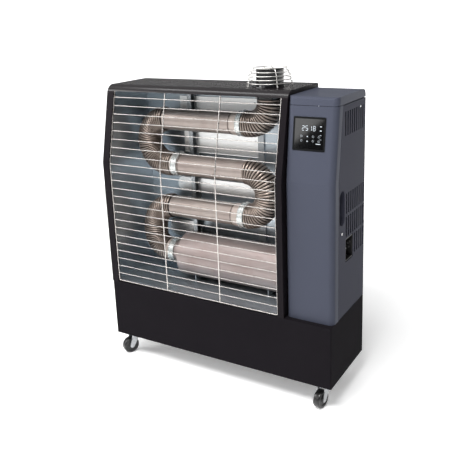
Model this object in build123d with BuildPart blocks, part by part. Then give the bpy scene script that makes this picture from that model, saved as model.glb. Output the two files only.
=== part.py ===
"""A mobile oil-fired infrared tube heater, as an assembly of separate pieces.

The heater stands on the floor with its front facing -Y, +X to the right and +Z up.
The origin is on the floor, under the middle of the cabinet. All sizes are millimetres.
"""

import os
from math import acos, cos, degrees, pi, radians, sin

from build123d import *

# Cabinet
cabinet_width = 880.0
cabinet_depth = 288.0
pedestal_height = 214.0
pedestal_corner = 5.0
column_width = 163.0
hood_rise = 729.0
column_rise = 715.0
bulge_rise = 456.0
sheet = 1.5
base_plate = 2.0

# Hood front
hood_lean = 61.0
hood_bulge_radius = 100.0
hood_roll_radius = 34.0
hood_rear_radius = 8.0
post_left = 28.0
post_right = 22.0
post_lip = 12.0
hood_lip = 21.5

# Back louvres
louvre_length = 150.0
louvre_gap = 34.0
louvre_height = 6.0
louvre_pitch = 15.0
louvre_rows = 5
louvre_columns = 3
louvre_low_place = 70.0
louvre_high_place = 90.0

# Polished reflector box
reflector_side_gap = 20.5
reflector_back_gap = 28.5
reflector_top_gap = 7.0
reflector_front_gap = 5.0
reflector_sheet = 1.0
reflector_tray = 6.0
reflector_tray_play = 1.0
ceiling_setback = 18.0
chamber_play = 1.0
flue_play = 1.0

# Wire guard
guard_wire = 2.6
guard_frame_wire = 3.4
guard_pitch = 29.85
guard_rows = 24
guard_foot = 5.2
guard_bars = 2
guard_bite = 0.4
guard_play = 2.0
guard_wire_sides = 6

# Radiant tubes
tube_setback = 168.0
tube_diameter = 78.0
tube_wall = 1.2
chamber_diameter = 162.0
chamber_wall = 2.0
chamber_rise = 93.5
lower_tube_rise = 270.5
middle_tube_rise = 432.0
upper_tube_rise = 598.0
left_bend_setback = 175.0
left_bend_tail = 23.0
right_bend_setback = 216.0
lower_bend_setback = 157.0
lower_bend_low_radius = 65.0
lower_bend_high_radius = 93.5
chamber_body_setback = 238.0
chamber_cone = 14.0
chamber_flange = 184.0
chamber_flange_thickness = 3.0
outlet_bend_radius = 80.0
outlet_rise = 12.0
flue_setback = 118.0

# Ribbed bends
hose_root = 80.0
hose_crest = 90.0
hose_bore = 74.0
rib_pitch = 16.0
hose_bore_step = 24.0
hose_cuff = 6.0

# Hose clamps
clamp_width = 33.0
clamp_band = 1.0
clamp_rim = 2.5
clamp_ear = 9.0

# Posts, saddles and shields behind the tubes
post_width = 30.0
post_depth = 7.0
post_sheet = 1.2
post_left_setback = 235.0
post_right_setback = 206.0
saddle_width = 16.0
saddle_sheet = 2.0
saddle_left_setback = 241.0
saddle_right_setback = 276.0
saddle_angle = 60.0
cradle_sheet = 2.5
cradle_width = 110.0
cradle_height = 46.0
cradle_left_setback = 300.0
cradle_right_setback = 116.0
shield_sheet = 0.8
shield_hem = 5.0
# Each shield's left setback, right setback, low rise, high rise and corner radius
shield_plates = (
    (178.0, 214.0, 612.0, 671.0, 0.0),
    (190.0, 214.0, 462.0, 550.0, 0.0),
    (150.0, 220.0, 306.0, 362.0, 24.0),
    (100.0, 466.0, 120.0, 186.0, 28.0),
)

# Flue
flue_diameter = 92.0
flue_wall = 1.5
flue_rise = 54.0
flue_collar_diameter = 116.0
flue_collar_thickness = 1.5
flue_guard_rings = 5
flue_guard_low_radius = 75.0
flue_guard_top_radius = 54.0
flue_guard_low_rise = 13.0
flue_guard_top_rise = 60.0
flue_guard_wire = 2.4
flue_guard_legs = 4
flue_guard_turn = -45.0
flue_guard_foot = 6.0
flue_guard_shoulder_rise = 36.0
flue_guard_shoulder_inset = 7.0
flue_guard_crown = 4.0
flue_guard_bends = (3.0, 20.0, 8.0)
flue_guard_loop = 13.0
flue_guard_band = 2.0
flue_guard_ring_sides = 24

# Burner column
column_setback = 20.0
column_lean = 37.5
column_corner = 18.0
column_gap = 1.0
column_wrap_depth = 40.0
column_seam_drop = 27.0
column_seam_gap = 1.2
column_top_roll = 11.0
column_rear_radius = 20.0
column_louvre = 90.0
column_louvre_rows = 9
column_louvre_rise = 357.5
cap_overlap = 6.0
door_gap = 1.5
door_fold = 12.0
door_swing_room = 11.0

# Door vents, pull, inlet window and lock
vent_slot = 9.0
vent_pitch = 18.6
vent_columns = 9
upper_vent_front = 115.0
upper_vent_low = 591.0
upper_vent_height = 75.0
middle_vent_front = 126.0
middle_vent_low = 188.0
middle_vent_step = 76.0
middle_vent_height = 67.0
middle_vent_rows = 3
inlet_columns = 4
pull_front = 88.5
pull_level = 367.5
pull_width = 45.0
pull_height = 115.0
pull_depth = 22.0
pull_wall = 1.5
inlet_width = 66.0
inlet_height = 80.0
inlet_level = 218.5
inlet_setback = 152.5
inlet_body = 34.0
inlet_play = 2.0
inlet_socket_depth = 20.0
inlet_rim = 3.0
inlet_pin_spacing = 9.0
inlet_pin_high = 18.0
inlet_pin_low = 4.0
inlet_pin_width = 2.5
inlet_pin_height = 6.0
lock_level = 285.0
lock_setback = 87.0
lock_radius = 8.5
lock_barrel = 14.0
lock_plug = 9.0
lock_length = 16.0
lock_rise = 0.8
key_slot_depth = 2.0
key_slot_width = 1.4
key_slot_height = 6.0
cam_sheet = 2.5
cam_reach = 40.0
cam_width = 11.0

# Display
display_width = 106.0
display_height = 103.0
display_drop = 83.0
display_shift = 6.5
display_frame = 3.0
display_glass = 1.5
bezel_rise = 1.2
bezel_depth = 10.0
bezel_corner = 4.0

# Door hinge
hinge_pin = 6.0
hinge_pin_length = 10.0
hinge_inset = 7.0

# Fuel tank
tank_side_gap = 15.0
tank_front_gap = 19.0
tank_height = 165.0
tank_wall = 1.2
tank_corner = 12.0
tank_pad = 10.0
tank_pad_length = 40.0
tank_pad_width = 24.0
pedestal_slots = 9
pedestal_slot_pitch = 24.0
pedestal_slot_width = 9.0
pedestal_slot_height = 60.0
filler_setback = 50.0
filler_back_setback = 52.0
filler_diameter = 44.0
filler_rise = 30.0
filler_play = 1.0
neck_wall = 1.5
neck_flange = 6.0
neck_flange_thickness = 2.0
cap_diameter = 60.0
cap_height = 22.0
cap_skirt = 12.0
cap_clearance = 0.4
cap_grips = 12
cap_grip_radius = 2.6
cap_bar_inset = 8.0
cap_bar_width = 11.0
cap_bar_corner = 4.0
cap_bar_rise = 6.0
gauge_setback = 128.0
gauge_diameter = 46.0
gauge_hole = 14.0
gauge_rise = 9.0
gauge_rim = 2.0
gauge_recess = 2.5
pointer_pin = 1.5
pointer_pin_length = 2.4
pointer_hub = 3.6
pointer_offset = 8.5
pointer_width = 2.6
pointer_length = 15.0
pointer_taper = 86.5
pointer_sheet = 1.0
pointer_drop = 1.8
stem_width = 8.0
stem_fork_depth = 9.0
stem_fork_drop = 8.0
stem_fork_rise = 12.0
float_pivot = 4.0
float_boss = 3.0
float_boss_width = 6.0
float_rod = 1.6
float_arm_length = 105.0
float_radius = 15.0
float_length = 46.0
pickup_spacing = 36.0
pickup_hole = 7.0
pickup_bore = 5.0

# Casters
caster_height = 92.0
wheel_diameter = 62.0
wheel_width = 25.0
tread_chamfer = 3.0
caster_trail = 26.0
front_caster_inset = 44.0
rear_caster_inset = 95.0
caster_depth_inset = 57.0
front_left_heading = 245.0
front_right_heading = 260.0
rear_left_heading = 50.0
rear_right_heading = 130.0
caster_plate = 2.5
mount_plate = 56.0
race_height = 8.7
race_radius = 22.0
axle_diameter = 8.0
king_pin = 10.0
king_pin_head = 3.0
king_pin_head_radius = 8.0
fork_sheet = 3.0
fork_play = 0.6
fork_boss = 9.0
crown_sheet = 2.5
crown_length = 34.0
crown_offset = 3.0
swivel_gap = 0.3
running_clearance = 0.05

# Burner and its fan
plenum_diameter = 112.0
plenum_length = 106.0
plenum_shoulder = 8.0
blast_tube = 60.0
blast_length = 62.0
flame_disc_place = 31.0
flame_disc_half_height = 3.5
nozzle_place = 46.5
nozzle_radius = 7.0
electrode_radius = 1.6
electrode_place = 55.8
electrode_length = 27.9
electrode_spacing = 9.1
blower_radius = 68.0
blower_width = 50.0
blower_rise = 243.0
blower_eye = 30.0
duct_width = 56.0
motor_diameter = 70.0
motor_length = 46.0
motor_shaft = 8.0
motor_shaft_gap = 6.0
motor_shaft_play = 4.0
impeller_radius = 52.0
impeller_hub = 9.0
impeller_near_gap = 4.5
impeller_far_gap = 6.0
impeller_blades = 24
blade_chord = 14.0
blade_sheet = 1.2
blade_angle = 35.0

# Ignition transformer
transformer_depth = 46.0
transformer_width = 44.0
transformer_height = 80.0
transformer_play = 3.0

# Fuel pump, filter and pipes
pump_place = 34.0
pump_size = 36.0
pump_motor_radius = 12.0
filter_spacing = 72.0
filter_diameter = 30.0
filter_height = 56.0
filter_base = 9.0
fuel_pipe = 5.0
pipe_bend = 7.0
pipe_stub = 22.0
pipe_bridge_rise = 30.8
pipe_crossing = 50.4

# Control board
board_front_place = 60.0
board_rise = 400.0
board_width = 130.0
board_height = 180.0
board_standoff = 8.0
board_thickness = 1.6
board_inset = 4.0
# Each chip's place along and up the board, its width, height and rise
board_chips = (
    (30.0, 40.0, 36.0, 30.0, 24.0),
    (84.0, 40.0, 20.0, 16.0, 15.0),
    (84.0, 66.0, 20.0, 16.0, 15.0),
    (84.0, 92.0, 20.0, 16.0, 15.0),
    (34.0, 110.0, 22.0, 22.0, 3.0),
)

# Places worked out from the sizes above
left_x = -cabinet_width / 2
right_x = cabinet_width / 2
front_y = -cabinet_depth / 2
back_y = cabinet_depth / 2
base_z = caster_height
deck_z = base_z + pedestal_height
bulge_z = deck_z + bulge_rise
hood_top_z = deck_z + hood_rise
hood_lip_z = hood_top_z - hood_lip
column_top_z = deck_z + column_rise
seam_z = column_top_z - column_seam_drop
column_left_x = right_x - column_width
divide_x = column_left_x - column_gap
tube_y = front_y + tube_setback
hinge_x = right_x - hinge_inset
hinge_y = back_y - hinge_inset
chamber_z = deck_z + chamber_rise
lower_tube_z = deck_z + lower_tube_rise
middle_tube_z = deck_z + middle_tube_rise
upper_tube_z = deck_z + upper_tube_rise
flue_x = divide_x - flue_setback
overshoot = 5.0
from_end = (Align.CENTER, Align.CENTER, Align.MIN)

os.makedirs("parts", exist_ok=True)


def save(part, name):
    """Labels one finished piece and writes it."""
    part.label = name
    export_step(part, f"parts/{name}.step")


# Side outlines


def hood_section(x, inset=0.0):
    """The hood's side outline at x, drawn smaller all round by inset."""
    with BuildSketch(Plane.YZ.offset(x)) as section:
        with BuildLine():
            Polyline(
                (front_y, deck_z),
                (front_y, bulge_z),
                (front_y + hood_lean, hood_top_z),
                (back_y, hood_top_z),
                (back_y, deck_z),
                close=True,
            )
        make_face()
        front_top = section.vertices().group_by(Axis.Y)[-1].sort_by(Axis.X)[0]
        fillet(front_top, hood_roll_radius)
        rear_top = section.vertices().group_by(Axis.Y)[-1].sort_by(Axis.X)[-1]
        fillet(rear_top, hood_rear_radius)
        bulge = section.vertices().group_by(Axis.Y)[1]
        fillet(bulge, hood_bulge_radius)
        if inset:
            offset(amount=-inset, mode=Mode.REPLACE)
    return section.sketch


column_slope = column_lean / (column_top_z - bulge_z)


def column_face_y(z):
    """Where the column's front face is at height z."""
    return front_y + column_setback + max(0.0, z - bulge_z) * column_slope


def block(low, high, mode=Mode.ADD):
    """A box between two corners, in the open part."""
    middle = tuple((a + b) / 2 for a, b in zip(low, high))
    size = tuple(b - a for a, b in zip(low, high))
    with Locations(middle):
        return Box(*size, mode=mode)


# Pedestal

with BuildPart() as pedestal_wrap:
    with BuildSketch(Plane.XY.offset(base_z)) as wrap_plan:
        Rectangle(cabinet_width, cabinet_depth)
        front_corners = wrap_plan.vertices().group_by(Axis.Y)[0]
        fillet(front_corners, pedestal_corner)
    extrude(amount=pedestal_height)
    with BuildSketch(Plane.XY.offset(base_z)) as wrap_inside:
        with Locations((0, overshoot / 2)):
            Rectangle(cabinet_width - 2 * sheet, cabinet_depth - 2 * sheet + sheet + overshoot)
        inner_corners = wrap_inside.vertices().group_by(Axis.Y)[0]
        fillet(inner_corners, pedestal_corner - sheet)
    extrude(amount=pedestal_height, mode=Mode.SUBTRACT)
save(pedestal_wrap.part, "pedestal_wrap")

inner_width = cabinet_width - 2 * sheet
tank_width = cabinet_width - 2 * tank_side_gap
tank_depth = cabinet_depth - 2 * tank_front_gap
deck_depth = cabinet_depth - sheet
deck_middle_y = sheet / 2
front_caster_x = cabinet_width / 2 - front_caster_inset
rear_caster_x = cabinet_width / 2 - rear_caster_inset
caster_y = cabinet_depth / 2 - caster_depth_inset
caster_places = {
    "front_left": (-front_caster_x, -caster_y, front_left_heading),
    "front_right": (front_caster_x, -caster_y, front_right_heading),
    "rear_left": (-rear_caster_x, caster_y, rear_left_heading),
    "rear_right": (rear_caster_x, caster_y, rear_right_heading),
}


def pedestal_plate(z):
    """The pedestal's inside plan at height z, with its front corners rounded."""
    with BuildSketch(Plane.XY.offset(z)) as plan:
        with Locations((0, deck_middle_y)):
            Rectangle(inner_width, deck_depth)
        fillet(plan.vertices().group_by(Axis.Y)[0], pedestal_corner - sheet)
    return plan.sketch


with BuildPart() as pedestal_base:
    extrude(pedestal_plate(base_z), amount=base_plate)
    with Locations((0, 0, base_z + base_plate + tank_pad / 2)):
        with GridLocations(tank_width / 4, tank_depth - 2 * tank_pad_length, 4, 2):
            Box(tank_pad_length, tank_pad_width, tank_pad)
save(pedestal_base.part, "pedestal_base")

filler_x = right_x - filler_setback
filler_y = back_y - filler_back_setback
gauge_x = right_x - gauge_setback
gauge_y = filler_y
pickup_x = gauge_x + pickup_spacing
pickup_y = filler_y

with BuildPart() as pedestal_deck:
    extrude(pedestal_plate(deck_z - sheet), amount=sheet)
    with Locations((hinge_x, hinge_y, deck_z)):
        Cylinder(hinge_pin / 2, hinge_pin_length, align=from_end)
    for hole_x, hole_y, hole_radius in (
        (filler_x, filler_y, filler_diameter / 2 + filler_play),
        (gauge_x, gauge_y, gauge_diameter / 2 + filler_play),
        (pickup_x, pickup_y, pickup_hole),
    ):
        with Locations((hole_x, hole_y, deck_z)):
            Hole(hole_radius, depth=3 * sheet)
save(pedestal_deck.part, "pedestal_deck")

with BuildPart() as pedestal_back:
    block(
        (-inner_width / 2, back_y - sheet, base_z + base_plate),
        (inner_width / 2, back_y, deck_z - sheet),
    )
    with Locations((0, back_y, base_z + pedestal_height / 2)):
        with GridLocations(pedestal_slot_pitch, 1.0, pedestal_slots, 1):
            Box(pedestal_slot_width, 4 * sheet, pedestal_slot_height, mode=Mode.SUBTRACT)
save(pedestal_back.part, "pedestal_back")

# Fuel tank with its filler, gauge and float

tank_z = base_z + base_plate + tank_pad
tank_top_z = tank_z + tank_height

with BuildPart() as fuel_tank:
    block((-tank_width / 2, -tank_depth / 2, tank_z), (tank_width / 2, tank_depth / 2, tank_top_z))
    fillet(fuel_tank.edges().filter_by(Axis.Z), tank_corner)
    offset(amount=-tank_wall, mode=Mode.SUBTRACT)
    for hole_x, hole_radius in (
        (filler_x, filler_diameter / 2),
        (gauge_x, gauge_hole),
        (pickup_x, pickup_bore),
    ):
        with Locations((hole_x, filler_y, tank_top_z)):
            Hole(hole_radius, depth=3 * tank_wall)
save(fuel_tank.part, "fuel_tank")

filler_top_z = deck_z + filler_rise

with BuildPart() as filler_neck:
    with BuildSketch(Plane.XY.offset(tank_top_z - tank_wall)):
        with Locations((filler_x, filler_y)):
            Circle(filler_diameter / 2)
            Circle(filler_diameter / 2 - neck_wall, mode=Mode.SUBTRACT)
    extrude(amount=filler_top_z - tank_top_z + tank_wall)
    with BuildSketch(Plane.XY.offset(tank_top_z)):
        with Locations((filler_x, filler_y)):
            Circle(filler_diameter / 2 + neck_flange)
            Circle(filler_diameter / 2 - neck_wall, mode=Mode.SUBTRACT)
    extrude(amount=neck_flange_thickness)
save(filler_neck.part, "filler_neck")

cap_low = filler_top_z - cap_skirt
cap_top = cap_low + cap_height

with BuildPart() as fuel_cap:
    with BuildSketch(Plane.XY.offset(cap_low)):
        with Locations((filler_x, filler_y)):
            Circle(cap_diameter / 2)
    extrude(amount=cap_height)
    with BuildSketch(Plane.XY.offset(cap_low)):
        with Locations((filler_x, filler_y)):
            Circle(filler_diameter / 2 + cap_clearance)
    extrude(amount=filler_top_z - cap_low + cap_clearance, mode=Mode.SUBTRACT)
    with BuildSketch(Plane.XY.offset(cap_low)):
        with Locations((filler_x, filler_y)):
            with PolarLocations(cap_diameter / 2, cap_grips):
                Circle(cap_grip_radius)
    extrude(amount=cap_height, mode=Mode.SUBTRACT)
    with BuildSketch(Plane.XY.offset(cap_top)):
        with Locations((filler_x, filler_y)):
            RectangleRounded(cap_diameter - 2 * cap_bar_inset, cap_bar_width, cap_bar_corner)
    extrude(amount=cap_bar_rise, taper=8.0)
save(fuel_cap.part, "fuel_cap")

pivot_z = tank_z + tank_height / 2
dial_top_z = deck_z + gauge_rise

with BuildPart() as fuel_gauge:
    with BuildSketch(Plane.XY.offset(tank_top_z)):
        with Locations((gauge_x, gauge_y)):
            Circle(gauge_diameter / 2)
    extrude(amount=dial_top_z - tank_top_z)
    with BuildSketch(Plane.XY.offset(dial_top_z)):
        with Locations((gauge_x, gauge_y)):
            Circle(gauge_diameter / 2 - gauge_rim)
    extrude(amount=-gauge_recess, mode=Mode.SUBTRACT)
    block(
        (gauge_x - stem_width / 2, gauge_y - stem_fork_depth, pivot_z - stem_fork_drop),
        (gauge_x + stem_width / 2, gauge_y + stem_fork_depth, tank_top_z),
    )
    fork_half = float_boss_width / 2 + swivel_gap
    block(
        (gauge_x - stem_width, gauge_y - fork_half, pivot_z - stem_fork_drop - overshoot),
        (gauge_x + stem_width, gauge_y + fork_half, pivot_z + stem_fork_rise),
        mode=Mode.SUBTRACT,
    )
    with Locations(Plane((gauge_x, gauge_y, pivot_z), z_dir=(0, 1, 0))):
        Cylinder(float_pivot / 2, 2 * stem_fork_depth)
    with Locations((gauge_x, gauge_y, dial_top_z - gauge_recess)):
        Cylinder(pointer_pin, pointer_pin_length, align=from_end)
save(fuel_gauge.part, "fuel_gauge")

with BuildPart() as gauge_pointer:
    with BuildSketch(Plane.XY.offset(dial_top_z - pointer_drop)):
        with Locations((gauge_x, gauge_y)):
            Circle(pointer_hub)
        with Locations((gauge_x, gauge_y + pointer_offset)):
            Trapezoid(pointer_width, pointer_length, pointer_taper)
        with Locations((gauge_x, gauge_y)):
            Circle(pointer_pin + running_clearance, mode=Mode.SUBTRACT)
    extrude(amount=pointer_sheet)
save(gauge_pointer.part, "gauge_pointer")

with BuildPart() as float_arm:
    with Locations(Plane((gauge_x, gauge_y, pivot_z), z_dir=(0, 1, 0))):
        Cylinder(float_pivot / 2 + float_boss, float_boss_width)
    with Locations(Plane((gauge_x - float_arm_length / 2, gauge_y, pivot_z), z_dir=(1, 0, 0))):
        Cylinder(float_rod, float_arm_length)
    with Locations(Plane((gauge_x - float_arm_length, gauge_y, pivot_z), z_dir=(0, 1, 0))):
        Cylinder(float_radius, float_length)
    with Locations(Plane((gauge_x, gauge_y, pivot_z), z_dir=(0, 1, 0))):
        Cylinder(float_pivot / 2 + running_clearance, 2 * float_boss_width, mode=Mode.SUBTRACT)
save(float_arm.part, "float_arm")

# Hood: two side sheets with folded front posts, and a rolled top


def hood_post(near_x, far_x, lip_x, lip_side):
    """A folded post along the front edge, with its stiffening lip turned inward."""
    front_zone = front_y + hood_lean + overshoot
    extrude(hood_section(near_x), amount=far_x - near_x)
    extrude(hood_section(near_x, sheet), amount=far_x - near_x, mode=Mode.SUBTRACT)
    extrude(hood_section(lip_x), amount=lip_side * sheet)
    extrude(hood_section(lip_x, post_lip), amount=lip_side * sheet, mode=Mode.SUBTRACT)
    low_x, high_x = min(near_x, far_x), max(near_x, far_x)
    block(
        (low_x - overshoot, front_y - overshoot, hood_lip_z),
        (high_x + overshoot, back_y + overshoot, hood_top_z + overshoot),
        mode=Mode.SUBTRACT,
    )
    block(
        (low_x - overshoot, front_zone, deck_z - overshoot),
        (high_x + overshoot, back_y + overshoot, hood_top_z + overshoot),
        mode=Mode.SUBTRACT,
    )
    block(
        (low_x - overshoot, front_y + post_lip, deck_z - overshoot),
        (high_x + overshoot, front_zone + overshoot, deck_z + post_lip),
        mode=Mode.SUBTRACT,
    )


with BuildPart() as hood_left_panel:
    hood_post(left_x, left_x + post_left, left_x + post_left - sheet, 1)
    extrude(hood_section(left_x), amount=sheet)
save(hood_left_panel.part, "hood_left_panel")

with BuildPart() as hood_divider:
    hood_post(divide_x - post_right, divide_x, divide_x - post_right, 1)
    extrude(hood_section(divide_x - sheet), amount=sheet)
    with Locations(Plane((divide_x, tube_y, chamber_z), z_dir=(1, 0, 0))):
        Cylinder(chamber_diameter / 2 + chamber_play, 4 * sheet, mode=Mode.SUBTRACT)
save(hood_divider.part, "hood_divider")

with BuildPart() as hood_top:
    span = divide_x - left_x - 2 * sheet
    extrude(hood_section(left_x + sheet), amount=span)
    extrude(hood_section(left_x + sheet, sheet), amount=span, mode=Mode.SUBTRACT)
    block(
        (left_x, front_y - overshoot, deck_z - overshoot),
        (divide_x, back_y + overshoot, hood_lip_z),
        mode=Mode.SUBTRACT,
    )
    with Locations((flue_x, tube_y, hood_top_z)):
        Hole(flue_diameter / 2 + flue_play, depth=4 * sheet)
save(hood_top.part, "hood_top")

with BuildPart() as hood_back:
    block(
        (left_x + sheet, back_y - sheet, deck_z),
        (divide_x - sheet, back_y, hood_lip_z),
    )
    for group_z in (deck_z + louvre_low_place, hood_lip_z - louvre_high_place):
        with BuildSketch(Plane.XZ.offset(-back_y)):
            with Locations(((left_x + divide_x) / 2, group_z)):
                with GridLocations(
                    louvre_length + louvre_gap, louvre_pitch, louvre_columns, louvre_rows
                ):
                    Rectangle(louvre_length, louvre_height)
        extrude(amount=2 * sheet, both=True, mode=Mode.SUBTRACT)
save(hood_back.part, "hood_back")

# Polished reflector box round the tubes

reflector_left_x = left_x + sheet + reflector_side_gap
reflector_right_x = divide_x - sheet - reflector_side_gap
reflector_back_y = back_y - sheet - reflector_back_gap
reflector_floor_z = deck_z + reflector_tray
reflector_top_z = hood_top_z - sheet - reflector_top_gap
reflector_inset = sheet + reflector_front_gap


def reflector_side(x):
    """A polished side sheet, cut to the hood's outline in front and square behind."""
    side = extrude(hood_section(x, reflector_inset), amount=reflector_sheet)
    block(
        (x - overshoot, front_y - overshoot, deck_z - overshoot),
        (x + overshoot, back_y + overshoot, reflector_floor_z),
        mode=Mode.SUBTRACT,
    )
    block(
        (x - overshoot, reflector_back_y, deck_z - overshoot),
        (x + overshoot, back_y + overshoot, hood_top_z),
        mode=Mode.SUBTRACT,
    )
    block(
        (x - overshoot, front_y - overshoot, reflector_top_z),
        (x + overshoot, back_y + overshoot, hood_top_z),
        mode=Mode.SUBTRACT,
    )
    return side


with BuildPart() as reflector_left:
    reflector_side(reflector_left_x)
save(reflector_left.part, "reflector_left")

with BuildPart() as reflector_right:
    reflector_side(reflector_right_x - reflector_sheet)
    with Locations(Plane((reflector_right_x, tube_y, chamber_z), z_dir=(1, 0, 0))):
        Cylinder(chamber_diameter / 2 + chamber_play, 4 * reflector_sheet, mode=Mode.SUBTRACT)
save(reflector_right.part, "reflector_right")

with BuildPart() as reflector_back:
    block(
        (reflector_left_x, reflector_back_y, deck_z),
        (reflector_right_x, reflector_back_y + reflector_sheet, reflector_top_z + reflector_sheet),
    )
save(reflector_back.part, "reflector_back")

tray_front_y = front_y + sheet + post_lip + reflector_tray_play

with BuildPart() as reflector_floor:
    block(
        (reflector_left_x, tray_front_y, deck_z),
        (reflector_right_x, reflector_back_y, reflector_floor_z),
    )
    block(
        (reflector_left_x + reflector_sheet, tray_front_y + reflector_sheet, deck_z - overshoot),
        (
            reflector_right_x - reflector_sheet,
            reflector_back_y - reflector_sheet,
            reflector_floor_z - reflector_sheet,
        ),
        mode=Mode.SUBTRACT,
    )
save(reflector_floor.part, "reflector_floor")

ceiling_front_y = front_y + hood_lean + ceiling_setback

with BuildPart() as reflector_ceiling:
    block(
        (reflector_left_x, ceiling_front_y, reflector_top_z),
        (reflector_right_x, reflector_back_y, reflector_top_z + reflector_sheet),
    )
    with Locations((flue_x, tube_y, reflector_top_z)):
        Hole(flue_diameter / 2 + flue_play, depth=4 * reflector_sheet)
save(reflector_ceiling.part, "reflector_ceiling")

# Wire guard over the opening

guard_left_x = left_x + post_left + guard_frame_wire / 2
guard_right_x = divide_x - post_right - guard_frame_wire / 2
guard_y = front_y + sheet + guard_frame_wire / 2 + guard_play
lean_angle = acos(
    (hood_top_z - bulge_z) / ((hood_top_z - bulge_z) ** 2 + hood_lean**2) ** 0.5
)
foot_z = deck_z + guard_foot
straight_run = bulge_z - foot_z
guard_top_run = straight_run + (hood_lip_z + guard_frame_wire / 2 - bulge_z) / cos(lean_angle)


def guard_point(run):
    """The (y, z) of a guard wire after a run up the front from the guard's foot."""
    if run <= straight_run:
        return guard_y, foot_z + run
    extra = run - straight_run
    return guard_y + extra * sin(lean_angle), bulge_z + extra * cos(lean_angle)


def guard_upright(x, y_offset, diameter):
    """One upright wire that bends with the front at the bulge."""
    foot_y, low_z = guard_point(0.0)
    bend_y, bend_z = guard_point(straight_run)
    head_y, head_z = guard_point(guard_top_run)
    with BuildLine() as path:
        FilletPolyline(
            (x, foot_y + y_offset, low_z),
            (x, bend_y + y_offset, bend_z),
            (x, head_y + y_offset, head_z),
            radius=hood_bulge_radius,
        )
    with BuildSketch(Plane((x, foot_y + y_offset, low_z), x_dir=(1, 0, 0), z_dir=(0, 0, 1))) as ring:
        RegularPolygon(diameter / 2, guard_wire_sides, rotation=180 / guard_wire_sides)
    sweep(ring.sketch, path=path.line)


def guard_row(run, y_offset, diameter):
    """One level wire of the guard, after a run up the front from its foot."""
    row_y, row_z = guard_point(run)
    row_plane = Plane((guard_left_x, row_y + y_offset, row_z), x_dir=(0, 1, 0), z_dir=(1, 0, 0))
    with BuildSketch(row_plane) as wire:
        RegularPolygon(diameter / 2, guard_wire_sides, rotation=180 / guard_wire_sides)
    extrude(wire.sketch, amount=guard_right_x - guard_left_x)


with BuildPart() as guard_grille:
    upright_step = (guard_right_x - guard_left_x) / (guard_bars + 1)
    for side_x in (guard_left_x, guard_right_x):
        guard_upright(side_x, 0.0, guard_frame_wire)
    for bar in range(1, guard_bars + 1):
        guard_upright(guard_left_x + bar * upright_step, guard_wire - guard_bite, guard_wire)
    for frame_run in (0.0, guard_top_run):
        guard_row(frame_run, 0.0, guard_frame_wire)
    for row in range(1, guard_rows):
        guard_row(row * guard_pitch, 0.0, guard_wire)
save(guard_grille.part, "guard_grille")

# Combustion chamber, radiant tubes and ribbed bends


def ring_bar(centre, along, outer, inner, length):
    """A plain tube from centre, along a direction."""
    with BuildSketch(Plane(centre, z_dir=along)) as ring:
        Circle(outer / 2)
        Circle(inner / 2, mode=Mode.SUBTRACT)
    extrude(ring.sketch, amount=length)


chamber_left_x = left_x + chamber_body_setback
chamber_right_x = divide_x + chamber_flange_thickness
neck_radius = tube_diameter / 2
body_radius = chamber_diameter / 2
lower_bend_x = left_x + lower_bend_setback
lower_bend_end_x = lower_bend_x - lower_bend_low_radius + lower_bend_high_radius
left_bend_x = left_x + left_bend_setback
right_bend_x = divide_x - right_bend_setback

with BuildPart() as combustion_chamber:
    with BuildSketch(Plane.XZ.offset(-tube_y)):
        with BuildLine():
            Polyline(
                (lower_bend_x, chamber_z + neck_radius - tube_wall),
                (lower_bend_x, chamber_z + neck_radius),
                (chamber_left_x - chamber_cone, chamber_z + neck_radius),
                (chamber_left_x, chamber_z + body_radius),
                (divide_x, chamber_z + body_radius),
                (divide_x, chamber_z + chamber_flange / 2),
                (chamber_right_x, chamber_z + chamber_flange / 2),
                (chamber_right_x, chamber_z + body_radius - chamber_wall),
                (chamber_left_x, chamber_z + body_radius - chamber_wall),
                (chamber_left_x - chamber_cone, chamber_z + neck_radius - tube_wall),
                close=True,
            )
        make_face()
    revolve(axis=Axis((0, tube_y, chamber_z), (1, 0, 0)))
save(combustion_chamber.part, "combustion_chamber")

tube_spans = {
    "radiant_tube_lower": (lower_bend_end_x, right_bend_x, lower_tube_z),
    "radiant_tube_middle": (left_bend_x + left_bend_tail, right_bend_x, middle_tube_z),
    "radiant_tube_upper": (left_bend_x, right_bend_x, upper_tube_z),
}
for tube_name, (start_x, end_x, tube_z) in tube_spans.items():
    with BuildPart() as radiant_tube:
        tube_bore = tube_diameter - 2 * tube_wall
        ring_bar((start_x, tube_y, tube_z), (1, 0, 0), tube_diameter, tube_bore, end_x - start_x)
    save(radiant_tube.part, tube_name)


def along_route(runs, distance):
    """Point and heading after a distance along straight and round runs in the tube plane."""
    for kind, length, data in runs:
        if distance <= length + 1e-6:
            if kind == "straight":
                (start_x, start_z), heading = data
                return (
                    (start_x + distance * cos(heading), start_z + distance * sin(heading)),
                    heading,
                )
            (centre_x, centre_z), radius, start_angle, turn = data
            angle = start_angle + turn * distance / radius
            point = (centre_x + radius * cos(angle), centre_z + radius * sin(angle))
            return point, angle + turn * pi / 2
        distance -= length
    return along_route(runs[-1:], runs[-1][1])


def hose_circle(runs, distance, diameter):
    """A circle across the route, a distance along it, facing a steady way."""
    (x, z), heading = along_route(runs, distance)
    plane = Plane((x, tube_y, z), x_dir=(0, 1, 0), z_dir=(cos(heading), 0, sin(heading)))
    with BuildSketch(plane) as ring:
        Circle(diameter / 2)
    return ring.sketch


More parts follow.
